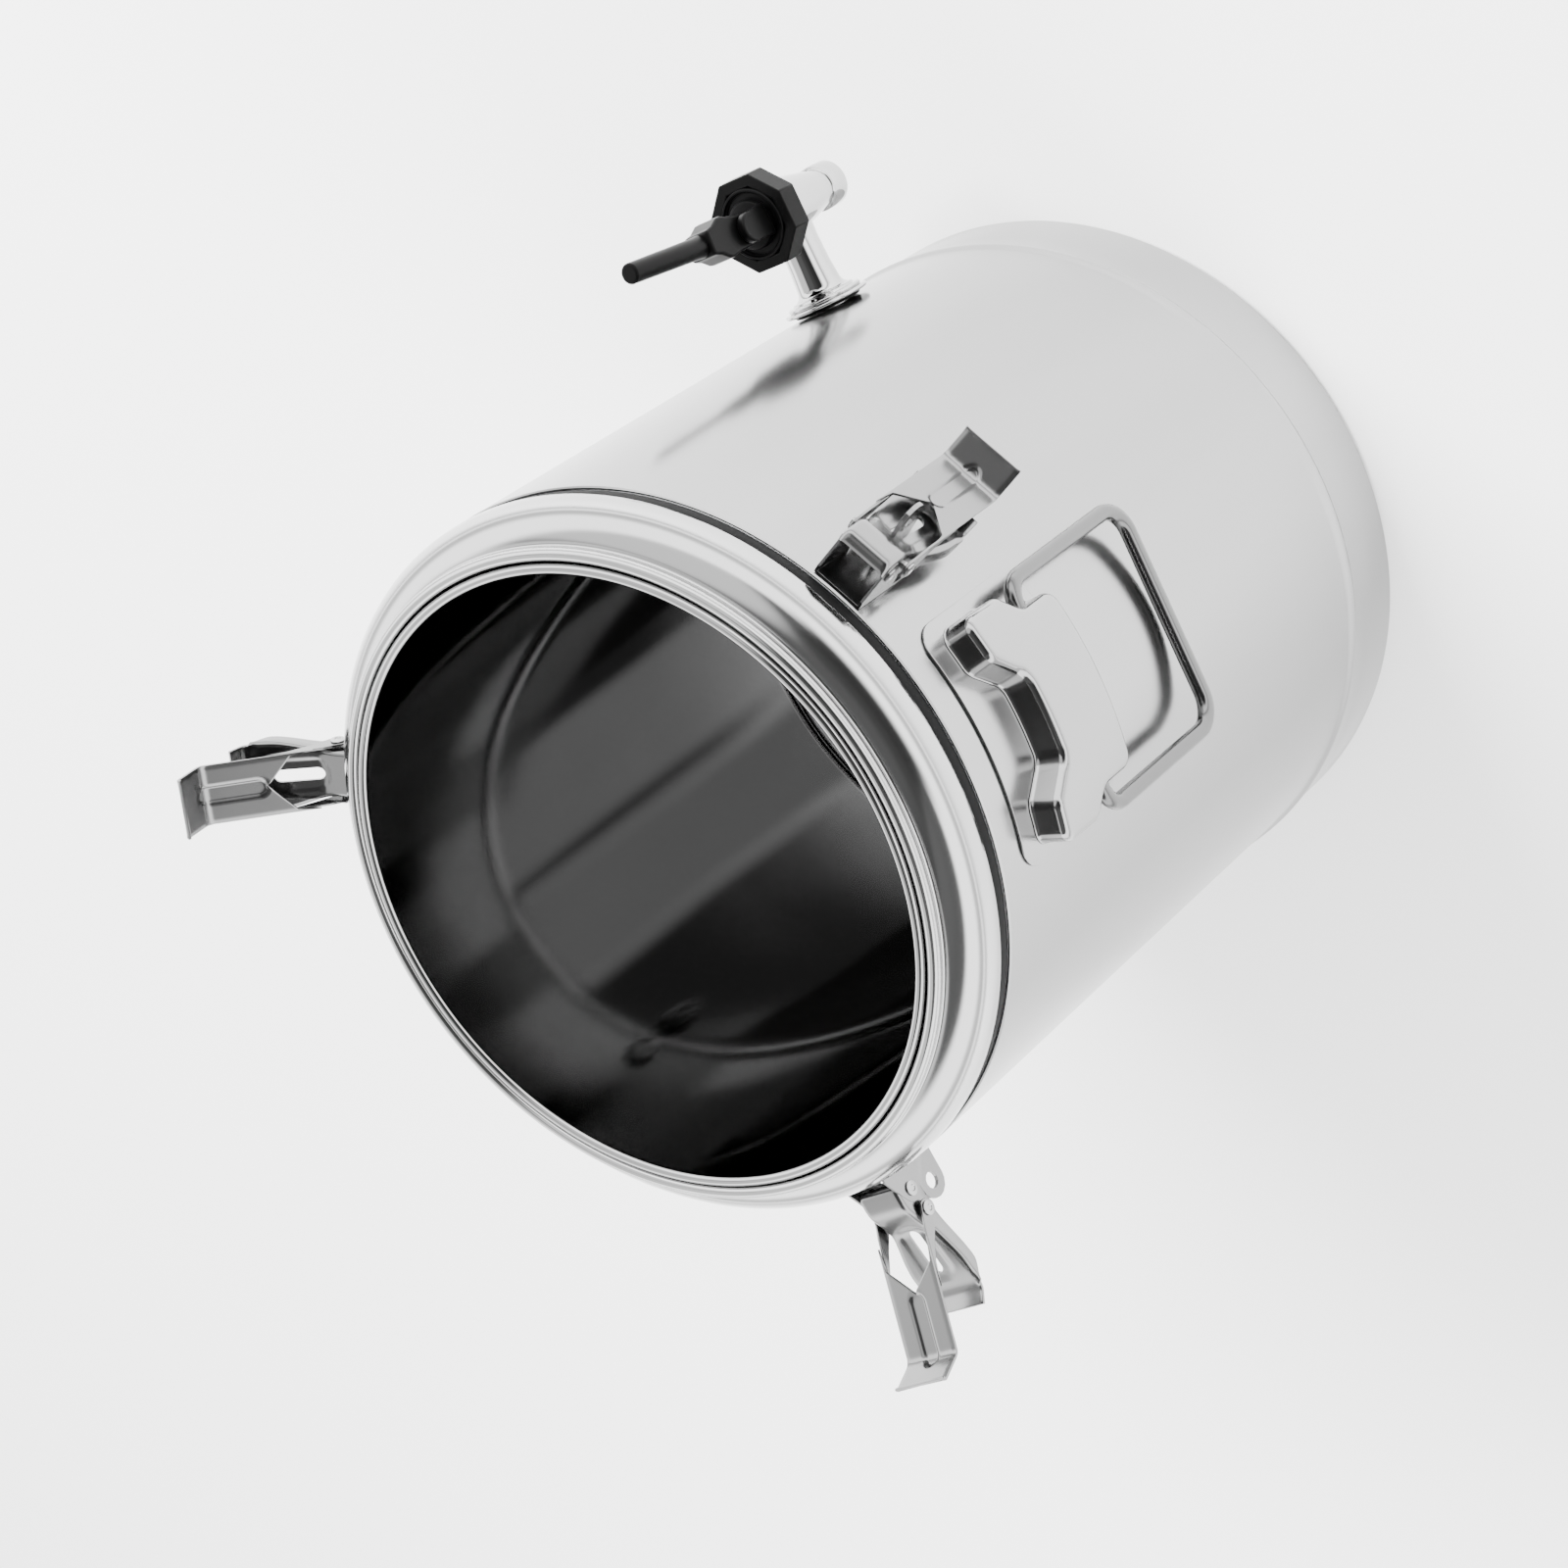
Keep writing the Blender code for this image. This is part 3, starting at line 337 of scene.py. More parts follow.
polished = steel("polished_shell", tint=0.33, rough=0.19, spread=0.025, waviness=0.0006,
                 grain=(1, 1, 14), grain_depth=0.000004, streak=(1.6, 1.6, 0.12), mottle=0.14)
collar_polish = steel("polished_collar", tint=0.43, rough=0.13, spread=0.03, waviness=0.0003,
                      grain=(1, 1, 6), grain_depth=0.000004)
liner_satin = steel("drawn_liner", tint=0.36, rough=0.065, spread=0.015, waviness=0.0006,
                    grain=(1, 1, 20), grain_depth=0.000010)
rubber = moulded("seal_rubber", tint=0.004, rough=0.6, spread=0.08,
                 grain_scale=900.0, grain_depth=0.00003, shine=0.08)

SHELL_WALL = 0.0012
BEAD_Z, BEAD_HALF, BEAD_OUT, BEAD_STEPS = 0.045, 0.0050, 0.0015, 6
bead = [(SHELL_R + BEAD_OUT * 0.5 * (1 + math.cos(math.pi * t / BEAD_STEPS)),
         BEAD_Z + BEAD_HALF * t / BEAD_STEPS) for t in range(-BEAD_STEPS, BEAD_STEPS + 1)]
shell = lathe("shell", (
    arc(SHELL_R - 0.002, SHELL_LOW + 0.002, 0.002, -90, 0, 6) + [(SHELL_R, 0.030)] + bead
    + [(SHELL_R, 0.060), (SHELL_R, SEAM_LOW - 0.0008), (SHELL_R - 0.0006, SEAM_LOW - 0.0001),
       (SHELL_R - SHELL_WALL, SEAM_LOW - 0.0001), (SHELL_R - SHELL_WALL, SHELL_LOW + 0.003),
       (SHELL_R - 0.0024, SHELL_LOW + 0.0006)]))
dress(shell, polished, "barrel", "body_steel", "outer_shell")

seam = lathe("seam_band", [
    (SHELL_R - 0.0016, SEAM_LOW + 0.0002), (SHELL_R - 0.0011, SEAM_LOW + 0.0016),
    (SHELL_R - 0.0009, 0.5 * (SEAM_LOW + SEAM_HIGH)), (SHELL_R - 0.0011, SEAM_HIGH - 0.0016),
    (SHELL_R - 0.0016, SEAM_HIGH - 0.0002), (SHELL_R - 0.0100, SEAM_HIGH - 0.0002),
    (SHELL_R - 0.0100, SEAM_LOW + 0.0002)])
dress(seam, rubber, "barrel", "seal_rubber", "seam_ring")

ROLL_AT, ROLL_WIDE, ROLL_HIGH, ROLL_TURN = (0.1500, 0.3840), 0.0200, 0.01745, 74.0
ROLL_STEPS = 24
RIM_R, RIM_AT = 0.0030, (0.1520, 0.4046)
roll = [(ROLL_AT[0] + ROLL_WIDE * math.cos(a), ROLL_AT[1] + ROLL_HIGH * math.sin(a))
        for a in (math.radians(ROLL_TURN) * t / ROLL_STEPS for t in range(ROLL_STEPS + 1))]
roll_end = roll[-1]
collar = lathe("collar", (
    [(SHELL_R - SHELL_WALL, SEAM_HIGH), (SHELL_R - 0.0004, SEAM_HIGH + 0.0001),
     (SHELL_R, SEAM_HIGH + 0.0008)] + roll
    + arc(roll_end[0] - 0.0002, roll_end[1] + 0.0012, 0.0012, -110, -160, 3)
    + arc(RIM_AT[0], RIM_AT[1], RIM_R, -25, 190, 20)
    + [(RIM_AT[0] - 0.0029, HEIGHT - 0.0090), (roll_end[0] - 0.0010, roll_end[1] - 0.0016)]
    + [(r - 0.0010, z - 0.0009) for r, z in roll[::-4]]))
dress(collar, collar_polish, "barrel", "body_steel", "mouth_collar")

FLOOR_Z, COVE_R, LINER_WALL = 0.086, 0.012, 0.0010
LINER_RIM = 0.0025
liner = lathe("liner", (
    [(0.0, FLOOR_Z)]
    + arc(MOUTH_R - COVE_R, FLOOR_Z + COVE_R, COVE_R, -90, 0, 12)
    + [(MOUTH_R, 0.20), (MOUTH_R, 0.32)]
    + arc(MOUTH_R + LINER_RIM, HEIGHT - LINER_RIM, LINER_RIM, 180, -20, 18)
    + [(MOUTH_R + LINER_WALL, HEIGHT - 0.0070), (MOUTH_R + LINER_WALL, FLOOR_Z + COVE_R)]
    + arc(MOUTH_R - COVE_R, FLOOR_Z + COVE_R, COVE_R + LINER_WALL, 0, -90, 10)
    + [(0.0, FLOOR_Z - LINER_WALL)]))
dress(liner, liner_satin, "barrel", "liner_steel", "inner_liner")

# Between the walls is rigid foam, and a pressed pan closes the foot.
foam_look = moulded("foam", tint=0.5, rough=0.9, spread=0.05,
                    grain_scale=300.0, grain_depth=0.0004)
finish_node("insulation_foam", foam_look)
finish_node("base_pan", polished)

# ------------------------------------------------------------------ drop handles
# Each handle is a thin plate spot-welded to the shell, a deep stamped cover welded over it,
# and a bent steel wire whose two ends turn in holes in the cover's sides.
PLATE_HALF, PLATE_LOW, PLATE_HIGH = 0.057, 0.280, 0.357
PLATE_CORNER, PLATE_T = 0.012, 0.0010
COVER_H, COVER_LOW, COVER_HIGH, COVER_HALF = 0.0147, 0.282, 0.346, 0.051
COVER_CORNER, WAIST_HALF, WAIST_HIGH, NOTCH_HALF, CROWN_R = 0.0085, 0.017, 0.331, 0.041, 0.0042
BAIL_Z, BAIL_OUT, BAIL_R = 0.304, 0.005, 0.00375
BAIL_HALF, BAIL_END, BAIL_DEPTH = 0.053, 0.031, 0.095
BAIL_TOP_BEND, BAIL_LOW_BEND = 0.0098, 0.014
LIFT = 0.0003     # from the shell to a plate, and from a plate to its cover


def wrap(obj, azimuth, pieces_along):
    """Bend a flat piece round the shell: x runs along the shell, y up, z out from it."""
    bpy.context.view_layer.objects.active = obj
    bpy.ops.object.mode_set(mode="EDIT")
    low = min(v.co.x for v in obj.data.vertices)
    high = max(v.co.x for v in obj.data.vertices)
    for i in range(1, pieces_along):
        bpy.ops.mesh.select_all(action="SELECT")
        bpy.ops.mesh.bisect(plane_co=(low + (high - low) * i / pieces_along, 0, 0),
                            plane_no=(1, 0, 0), threshold=0.000001)
    bpy.ops.object.mode_set(mode="OBJECT")
    turn = math.radians(azimuth)
    for vert in obj.data.vertices:
        angle = turn + vert.co.x / SHELL_R
        radius = SHELL_R + vert.co.z
        vert.co = (radius * math.cos(angle), radius * math.sin(angle), vert.co.y)


def slab(name, outline, height, foot=0.0, round_corner=0.0, corner_steps=1):
    """A flat outline with rounded corners, filled and raised; its top face stays selected."""
    obj = begin(name, (*outline[0], foot))
    trace([(x, y, foot) for x, y in outline])
    bpy.ops.mesh.edge_face_add()
    if round_corner:
        bpy.ops.mesh.select_all(action="SELECT")
        bpy.ops.mesh.bevel(offset=round_corner, segments=corner_steps, affect="VERTICES")
        bpy.ops.mesh.select_all(action="SELECT")
    bpy.ops.mesh.extrude_region_move(TRANSFORM_OT_translate={"value": (0, 0, height)})
    return obj


def rounded(corners, radius, count):
    """Points round an outline with its corners rounded, each with the way it faces."""
    ring = []
    for before, here, after in zip(corners[-1:] + corners[:-1], corners, corners[1:] + corners[:1]):
        before, here, after = Vector(before), Vector(here), Vector(after)
        into, out = (here - before).normalized(), (after - here).normalized()
        turn = math.atan2(into.x * out.y - into.y * out.x, into.dot(out))
        cut = min(radius * math.tan(abs(turn) / 2), 0.48 * (here - before).length,
                  0.48 * (after - here).length)
        bend = cut / math.tan(abs(turn) / 2) * math.copysign(1, turn)
        centre = here - into * cut + Vector((-into.y, into.x)) * bend
        for i in range(count):
            facing = Matrix.Rotation(turn * i / (count - 1), 2) @ Vector((into.y, -into.x))
            ring.append((centre + facing * bend, facing))
    return ring


def stamping(name, ring, steps, foot):
    """Draw an outline up through (inward, height) steps and close it on top."""
    places = [point.copy() for point, _ in ring]
    obj = begin(name, (*places[0], foot))
    trace([(*point, foot) for point in places])
    bpy.ops.mesh.edge_face_add()
    for inward, height in steps[1:]:
        bpy.ops.mesh.extrude_region_move()
        shape = bmesh.from_edit_mesh(obj.data)
        moved = [point - facing * inward for point, facing in ring]
        for vert in shape.verts:
            if vert.select:
                near = min(range(len(ring)), key=lambda k: (places[k] - vert.co.xy).length)
                vert.co = (*moved[near], foot + height)
        bmesh.update_edit_mesh(obj.data)
        places = moved
    return finish_mesh(0.000002)


def soften(obj, width, segments, angle=35.0):
    """Round every edge sharper than the angle."""
    bpy.context.view_layer.objects.active = obj
    ease = obj.modifiers.new("Ease", "BEVEL")
    ease.width = width
    ease.segments = segments
    ease.limit_method = "ANGLE"
    ease.angle_limit = math.radians(angle)
    bpy.ops.object.modifier_apply(modifier=ease.name)


stamped = steel("stamped_steel", tint=0.31, rough=0.11, spread=0.02, waviness=0.0003,
                grain=(1, 1, 6), grain_depth=0.000003)
# The wire's base colour is set far below the other steel as painted shade, standing in for the dark
# surroundings that the polished wire reflects.
wire_steel = steel("wire_steel", tint=0.13, rough=0.18, spread=0.03, waviness=0.0001,
                   grain_depth=0.000006)


def fillet(points, radius, count):
    """Round each inner corner of an open path of right angles."""
    path = [points[0]]
    for before, here, after in zip(points, points[1:], points[2:]):
        into = (Vector(here) - Vector(before)).normalized()
        out = (Vector(after) - Vector(here)).normalized()
        centre = Vector(here) - radius * into + radius * out
        for i in range(count):
            turn = math.pi / 2 * i / (count - 1)
            path.append(tuple(centre - radius * math.cos(turn) * out + radius * math.sin(turn) * into))
    return path + [points[-1]]


for side, azimuth in (("left", 180.0), ("right", 0.0)):
    half = PLATE_HALF
    plate = slab(f"plate_{side}", [(-half, PLATE_LOW), (half, PLATE_LOW), (half, PLATE_HIGH),
                                   (-half, PLATE_HIGH)], PLATE_T, LIFT, PLATE_CORNER, 8)
    finish_mesh()
    soften(plate, 0.0003, 3)
    wrap(plate, azimuth, 40)
    dress(plate, polished, "barrel", "body_steel", f"handle_{side}_plate")

    step_z = BAIL_Z + BAIL_R + 0.004
    right_side = [(NOTCH_HALF, COVER_LOW), (NOTCH_HALF, step_z - 0.005),
                  (COVER_HALF, step_z + 0.005), (COVER_HALF, COVER_HIGH),
                  (WAIST_HALF + 0.013, COVER_HIGH), (WAIST_HALF, WAIST_HIGH)]
    plan = right_side + [(-x, y) for x, y in right_side[::-1]]
    foot = [(0.0, 0.0), (0.0005, 0.0002), (0.0008, 0.0008), (0.0010, 0.0018)]
    crown = [(0.0019 + CROWN_R * (1 - math.cos(a)), COVER_H - CROWN_R * (1 - math.sin(a)))
             for a in (math.pi / 2 * k / 7 for k in range(8))]
    cover = stamping(f"cover_{side}", rounded(plan, COVER_CORNER, 8), foot + crown,
                     PLATE_T + 2 * LIFT)
    wrap(cover, azimuth, 60)
    bpy.ops.object.shade_smooth_by_angle(angle=math.radians(50))
    dress(cover, stamped, "barrel", "stamped_steel", f"handle_{side}_cover")

    corners = [(-BAIL_END, 0.0), (-BAIL_HALF, 0.0), (-BAIL_HALF, -BAIL_DEPTH),
               (BAIL_HALF, -BAIL_DEPTH), (BAIL_HALF, 0.0), (BAIL_END, 0.0)]
    corners = [(y, z, 0.0) for y, z in corners]
    route = fillet(corners[:3], BAIL_TOP_BEND, 9)[:-1] + fillet(corners[1:5], BAIL_LOW_BEND, 12)[1:-1]
    route += fillet(corners[3:], BAIL_TOP_BEND, 9)[1:]
    line = bpy.data.curves.new(f"bail_{side}", "CURVE")
    line.dimensions = "3D"
    line.bevel_depth = BAIL_R
    line.bevel_resolution = 8
    line.use_fill_caps = True
    spline = line.splines.new("POLY")
    spline.points.add(len(route) - 1)
    turn = math.radians(azimuth)
    outward, across = (math.cos(turn), math.sin(turn)), (-math.sin(turn), math.cos(turn))
    for point, (y, z, _) in zip(spline.points, route):
        out = SHELL_R + BAIL_OUT
        point.co = (outward[0] * out + across[0] * y, outward[1] * out + across[1] * y, BAIL_Z + z, 1)
    bail = bpy.data.objects.new(f"bail_{side}", line)
    bpy.context.scene.collection.objects.link(bail)
    deselect_all()
    bail.select_set(True)
    bpy.context.view_layer.objects.active = bail
    bpy.ops.object.convert(target="MESH")
    bpy.ops.object.mode_set(mode="EDIT")
    bail = finish_mesh(0.00002)
    dress(bail, wire_steel, f"bail_{side}", "wire_steel", f"handle_{side}_bail")

# ------------------------------------------------------------------ tap
# A plated brass body clamped through the wall: a flange and gasket outside, a washer and a
# hexagon nut inside, and a black moulded cap nut, bonnet and lever on top.
TAP_Z, TAP_OUT = 0.110, 0.052
SHANK_HOLE, TAP_FLANGE_T = 0.0106, 0.0074
tap_axis = Vector((0.0, -1.0, 0.0))
inlet = Vector((0.0, -SHELL_R, TAP_Z))
upright = inlet + TAP_OUT * tap_axis


def stand(obj, origin, turn=None):
    """Put a piece made about the origin in its place, turned first if asked."""
    if turn is not None:
        obj.data.transform(turn)
    obj.data.transform(Matrix.Translation(origin))
    return obj


def combine(obj, tool, kind):
    """Add a tool's shape to a piece or cut it away, then drop the tool."""
    step = obj.modifiers.new("Combine", "BOOLEAN")
    step.operation = kind
    step.object = tool
    deselect_all()
    bpy.context.view_layer.objects.active = obj
    obj.select_set(True)
    bpy.ops.object.modifier_apply(modifier=step.name)
    bpy.data.objects.remove(tool, do_unlink=True)


outward_turn = Matrix.Rotation(math.pi / 2, 4, "X")     # +Z of a piece points to -Y
chrome = steel("tap_chrome", tint=0.45, rough=0.035, spread=0.012, waviness=0.0001)
black = moulded("tap_black", tint=0.0015, rough=0.34, spread=0.06,
                grain_scale=700.0, grain_depth=0.00001, shine=0.07)
zinc = steel("plated_steel", tint=0.55, rough=0.16, spread=0.04, waviness=0.0001,
             grain_depth=0.000004)

gasket = lathe("gasket", [
    (SHANK_HOLE, 0.0004), (0.0164, 0.0004), (0.0168, 0.0008), (0.0168, 0.0014),
    (0.0164, 0.0018), (SHANK_HOLE, 0.0018)], 64)
dress(stand(gasket, inlet, outward_turn), rubber, "barrel", "seal_rubber", "tap_gasket")
flange = lathe("flange", (
    [(SHANK_HOLE, 0.0020)] + arc(0.0203, 0.0030, 0.0010, -90, 90, 8)
    + [(0.0188, 0.0041)] + arc(0.0178, 0.0052, 0.0010, -60, 90, 8)
    + [(0.0160, 0.0063), (0.0152, TAP_FLANGE_T), (SHANK_HOLE, TAP_FLANGE_T)]), 96)
dress(stand(flange, inlet, outward_turn), chrome, "barrel", "tap_chrome", "tap_flange")

body = lathe("tap_casting", (
    [(0.0, 0.0225), (0.0160, 0.0225), (0.0165, 0.0220), (0.0165, 0.0137), (0.0172, 0.0136)]
    + arc(0.0172, 0.0128, 0.0008, 90, 0, 4)
    + [(0.0172, 0.0100), (0.0160, 0.0040), (0.0140, -0.0060), (0.0122, -0.0160),
       (0.0108, -0.0235), (0.0102, -0.0268), (0.0103, -0.0288), (0.0111, -0.0294),
       (0.0114, -0.0300)]
    + arc(0.0108, -0.0402, 0.0006, 0, -90, 4)
    + [(0.0094, -0.0408), (0.0090, -0.0404), (0.0088, -0.0200), (0.0076, -0.0120),
       (0.0, -0.0120)]), 128)
stand(body, upright)
neck_long = TAP_OUT - TAP_FLANGE_T
branch = lathe("branch", (
    [(0.0, 0.0), (0.0150, 0.0)] + arc(0.0155, 0.0045, 0.0045, -92, -180, 10)
    + [(0.0102, 0.0140), (0.0099, 0.0250), (0.0102, neck_long - 0.012), (0.0110, neck_long - 0.006),
       (0.0, neck_long - 0.006)]), 96)
stand(branch, inlet + TAP_FLANGE_T * tap_axis, outward_turn)
combine(body, branch, "UNION")
bpy.ops.object.shade_smooth_by_angle(angle=math.radians(32))
dress(body, chrome, "barrel", "tap_chrome", "tap_body")


def ear(name, outline, y_from, y_to, edge=0.0003, steps=2):
    """A flat ear with eased edges, drawn in (x, z) and standing across Y."""
    obj = slab(name, outline, y_to - y_from)
    finish_mesh()
    obj.data.transform(Matrix(((1, 0, 0, 0), (0, 0, 1, y_from), (0, 1, 0, 0), (0, 0, 0, 1))))
    obj.data.flip_normals()
    soften(obj, edge, steps, 50.0)
    return obj


def join_into(obj, *others):
    deselect_all()
    for other in (obj, *others):
        other.select_set(True)
    bpy.context.view_layer.objects.active = obj
    bpy.ops.object.join()
    return obj


CAP_R, CAP_LOW, CAP_T, CAP_SIDES = 0.0245, 0.014, 0.012, 8
cap = lathe("cap_nut", [(0.0, CAP_LOW), (CAP_R, CAP_LOW), (CAP_R, CAP_LOW + CAP_T),
                        (0.0186, CAP_LOW + CAP_T), (0.0180, CAP_LOW + CAP_T - 0.0012),
                        (0.0, CAP_LOW + CAP_T - 0.0012)][::-1], CAP_SIDES)
soften(cap, 0.0006, 3, 30.0)
bpy.ops.object.shade_smooth_by_angle(angle=math.radians(25))
cap_top = CAP_LOW + CAP_T
ring = lathe("cap_ring", [(0.0150, cap_top - 0.0020), (0.0174, cap_top - 0.0020),
                          (0.0174, cap_top + 0.0003), (0.0170, cap_top + 0.0007),
                          (0.0162, cap_top + 0.0007), (0.0158, cap_top - 0.0002),
                          (0.0150, cap_top - 0.0006)], 96)
join_into(cap, ring)
stand(cap, upright, Matrix.Rotation(math.pi / CAP_SIDES, 4, "Z"))
dress(cap, black, "barrel", "tap_black", "tap_cap_nut")

BOSS_R, BOSS_TOP, STEM_HOLE_R = 0.0122, cap_top + 0.003, 0.0028
EAR_IN, EAR_T, EAR_R, PIN_UP = 0.0080, 0.0045, 0.0075, 0.041
bonnet = lathe("bonnet", [
    (STEM_HOLE_R, BOSS_TOP), (BOSS_R - 0.0016, BOSS_TOP), (BOSS_R - 0.0005, BOSS_TOP - 0.0004),
    (BOSS_R, BOSS_TOP - 0.0014), (BOSS_R, cap_top - 0.0030), (STEM_HOLE_R, cap_top - 0.0030)], 96)
ear_shape = ([(-EAR_R - 0.0006, BOSS_TOP - 0.0015), (EAR_R + 0.0006, BOSS_TOP - 0.0015)]
             + arc(0.0, PIN_UP, EAR_R, -12, 192, 20))
join_into(bonnet, *[ear(f"bonnet_ear_{i}", ear_shape, y, y + EAR_T, edge=0.0010, steps=4)
                    for i, y in enumerate((EAR_IN, -EAR_IN - EAR_T))])
pin_turn = Matrix.Rotation(math.radians(-90.0), 4, "Z")    # the pin lies along X
stand(bonnet, upright, pin_turn)
dress(bonnet, black, "barrel", "tap_black", "tap_bonnet")

HUB_R, HUB_HALF, ROD_R, ROD_TIP, LEAN = 0.0080, 0.0077, 0.0050, 0.082, 5.0
FORK_HALF, FORK_REACH, FORK_TOP = 0.0034, 0.02, 0.0085
hub_shape = (arc(0.0, 0.0, HUB_R, 180, 360, 20)
             + [(0.0092, 0.0120), (0.0102, 0.0150), (0.0098, 0.0180), (0.0070, 0.0230),
                (0.0058, 0.0285), (-0.0058, 0.0285), (-0.0070, 0.0230), (-0.0098, 0.0180),
                (-0.0102, 0.0150), (-0.0092, 0.0120)])
handle = ear("tap_handle", hub_shape, -HUB_HALF, HUB_HALF, edge=0.0014, steps=4)
rod = lathe("rod", (
    [(0.0, ROD_TIP), (ROD_R - 0.0016, ROD_TIP)]
    + arc(ROD_R - 0.0012, ROD_TIP - 0.0012, 0.0012, 80, 0, 5)
    + [(ROD_R + 0.0003, 0.0340), (0.0056, 0.0280), (0.0064, 0.0240), (0.0, 0.0200)]), 48)
fork = ear("fork", [(-FORK_REACH, -FORK_REACH), (FORK_REACH, -FORK_REACH), (FORK_REACH, FORK_TOP),
                    (-FORK_REACH, FORK_TOP)], -FORK_HALF, FORK_HALF)
combine(handle, fork, "DIFFERENCE")
combine(handle, rod, "UNION")
bpy.ops.object.shade_smooth_by_angle(angle=math.radians(35))
stand(handle, upright + Vector((0.0, 0.0, PIN_UP)),
      pin_turn @ Matrix.Rotation(math.radians(LEAN), 4, "Y"))
dress(handle, black, "tap_lever", "tap_black", "tap_lever")
for name in ("tap_inner_washer", "tap_plunger"):
    finish_node(name, rubber)
for name in ("tap_inner_nut", "tap_shank", "tap_lever_pin"):
    finish_node(name, zinc)

# ------------------------------------------------------------------ latches
# Three toggle latches.  On each a bracket is spot-welded under the collar, a pressed lever
# turns on a headed pin between its cheeks, and a hook plate rides on a second pin with the
# claw that pulls the lid down.  All but the pins is satin stainless sheet 1.2 mm thick.
# For each: its way round the barrel, the turn of its lever and the turn of its hook, in degrees.
LATCHES = {"a": (94.5, -3.0, 24.0), "b": (210.5, -90.0, 1.5), "c": (335.5, 37.0, 5.0)}
PIVOT_OUT, PIVOT_Z, HOOK_PIVOT, LATCH_SHEET = 0.014, 0.359, 0.0112, 0.0012
BRACKET_HALF, LEVER_BASE, LEVER_END, HOOK_HALF = 0.01235, 0.0109, 0.0170, 0.0150
PIN_RADIUS, HEAD_RADIUS, HEAD_H = 0.0020, 0.0034, 0.0010
SHEET_EDGE = 0.00015


def curve_path(points, reach, spacing):
    """Round the bends of an open path within reach of each corner and divide its straights."""
    path = [Vector(points[0])]
    for before, here, after in zip(points, points[1:], points[2:]):
        here, before, after = Vector(here), Vector(before), Vector(after)
        cut = min(reach, 0.45 * (here - before).length, 0.45 * (after - here).length)
        start = here + (before - here).normalized() * cut
        end = here + (after - here).normalized() * cut
        for i in range(5):
            t = i / 4
            path.append(start * (1 - t) ** 2 + here * 2 * t * (1 - t) + end * t ** 2)
    path.append(Vector(points[-1]))
    full = [path[0]]
    for a, b in zip(path, path[1:]):
        count = max(1, round((b - a).length / spacing))
        full += [a + (b - a) * i / count for i in range(1, count + 1)]
    return full


def pressed(name, rows, columns, shape):
    """A sheet pressed between two dies: shape gives each (row, side to side) its place."""
    deselect_all()
    bpy.ops.mesh.primitive_grid_add(x_subdivisions=rows, y_subdivisions=columns, size=1.0)
    obj = bpy.context.active_object
    obj.name = obj.data.name = name
    for vert in obj.data.vertices:
        vert.co = shape(round((vert.co.x + 0.5) * rows), vert.co.y * 2)
    return obj


def thicken(obj):
    """Give a pressed sheet its thickness, inwards, and ease its cut edges."""
    bpy.ops.object.mode_set(mode="EDIT")
    finish_mesh(0.000002, 40.0)
    wall = obj.modifiers.new("Wall", "SOLIDIFY")
    wall.thickness = LATCH_SHEET
    wall.offset = -1.0
    wall.use_even_offset = True
    bpy.ops.object.modifier_apply(modifier=wall.name)
    soften(obj, SHEET_EDGE, 2, 55.0)
    bpy.ops.object.shade_smooth_by_angle(angle=math.radians(40))


def smooth_step(x, low, high):
    t = min(1.0, max(0.0, (x - low) / (high - low)))
    return t * t * (3 - 2 * t)


def channel(x, y, start, end, half, wall):
    """How deep inside a long round-ended channel a point is, from 0 to 1."""
    along = min(max(x, start + half), end - half) if end > start else x
    return 1 - smooth_step(math.hypot(x - along, y), half - wall, half)


# The latch sheet is darker than the same stainless sheet on the handle covers. This is painted shade,
# standing in for the shade and dark reflections on the latches.
latch_steel_painted_shade = steel("pressed_latch_painted_shade", tint=0.21, rough=0.20, spread=0.06, waviness=0.00025,
                      grain_depth=0.000010)
pin_steel = steel("turned_pin", tint=0.36, rough=0.22, spread=0.05, waviness=0.0001,
                  grain_depth=0.000008)

LEVER_PATH = [(-0.0063, 0.0030), (-0.0050, 0.0080), (0.0045, 0.0084), (0.0200, 0.0010),
              (0.0440, -0.0010), (0.0548, -0.0027), (0.0617, 0.0030)]
FLANGE_Z, FLANGE_TO = -0.0061, 0.0480
SLOT_FROM, SLOT_TO, SLOT_HALF, SLOT_CUT = 0.0190, 0.0430, 0.0032, 0.030
lever_rows = curve_path([(x, 0.0, z) for x, z in LEVER_PATH], 0.0030, 0.0016)


def lever_shape(row, side):
    """The lever's sheet: a flat back with a long rib, folded down along both sides."""
    spot = lever_rows[row]
    half = LEVER_BASE + (LEVER_END - LEVER_BASE) * smooth_step(spot.x, 0.012, 0.044)
    drop = max(0.0, spot.z - FLANGE_Z)
    drop *= 1 - smooth_step(spot.x, FLANGE_TO - 0.006, FLANGE_TO + 0.005)
    drop *= smooth_step(spot.x, -0.0070, -0.0035) * 0.55 + 0.45
    curl = min(0.0016, drop)
    share = abs(side)
    rib = 0.0007 * channel(spot.x, side * half, SLOT_FROM - 0.004, SLOT_TO + 0.004, 0.0066, 0.002)
    if share <= 0.6:
        y, z = (half - curl) * share / 0.6, -rib
    elif share <= 0.8:
        turn = math.pi / 2 * (share - 0.6) / 0.2
        y, z = half - curl + curl * math.sin(turn), -curl + curl * math.cos(turn)
    else:
        y, z = half, -curl - (drop - curl) * (share - 0.8) / 0.2
    return spot + Vector((0.0, math.copysign(y, side), z))


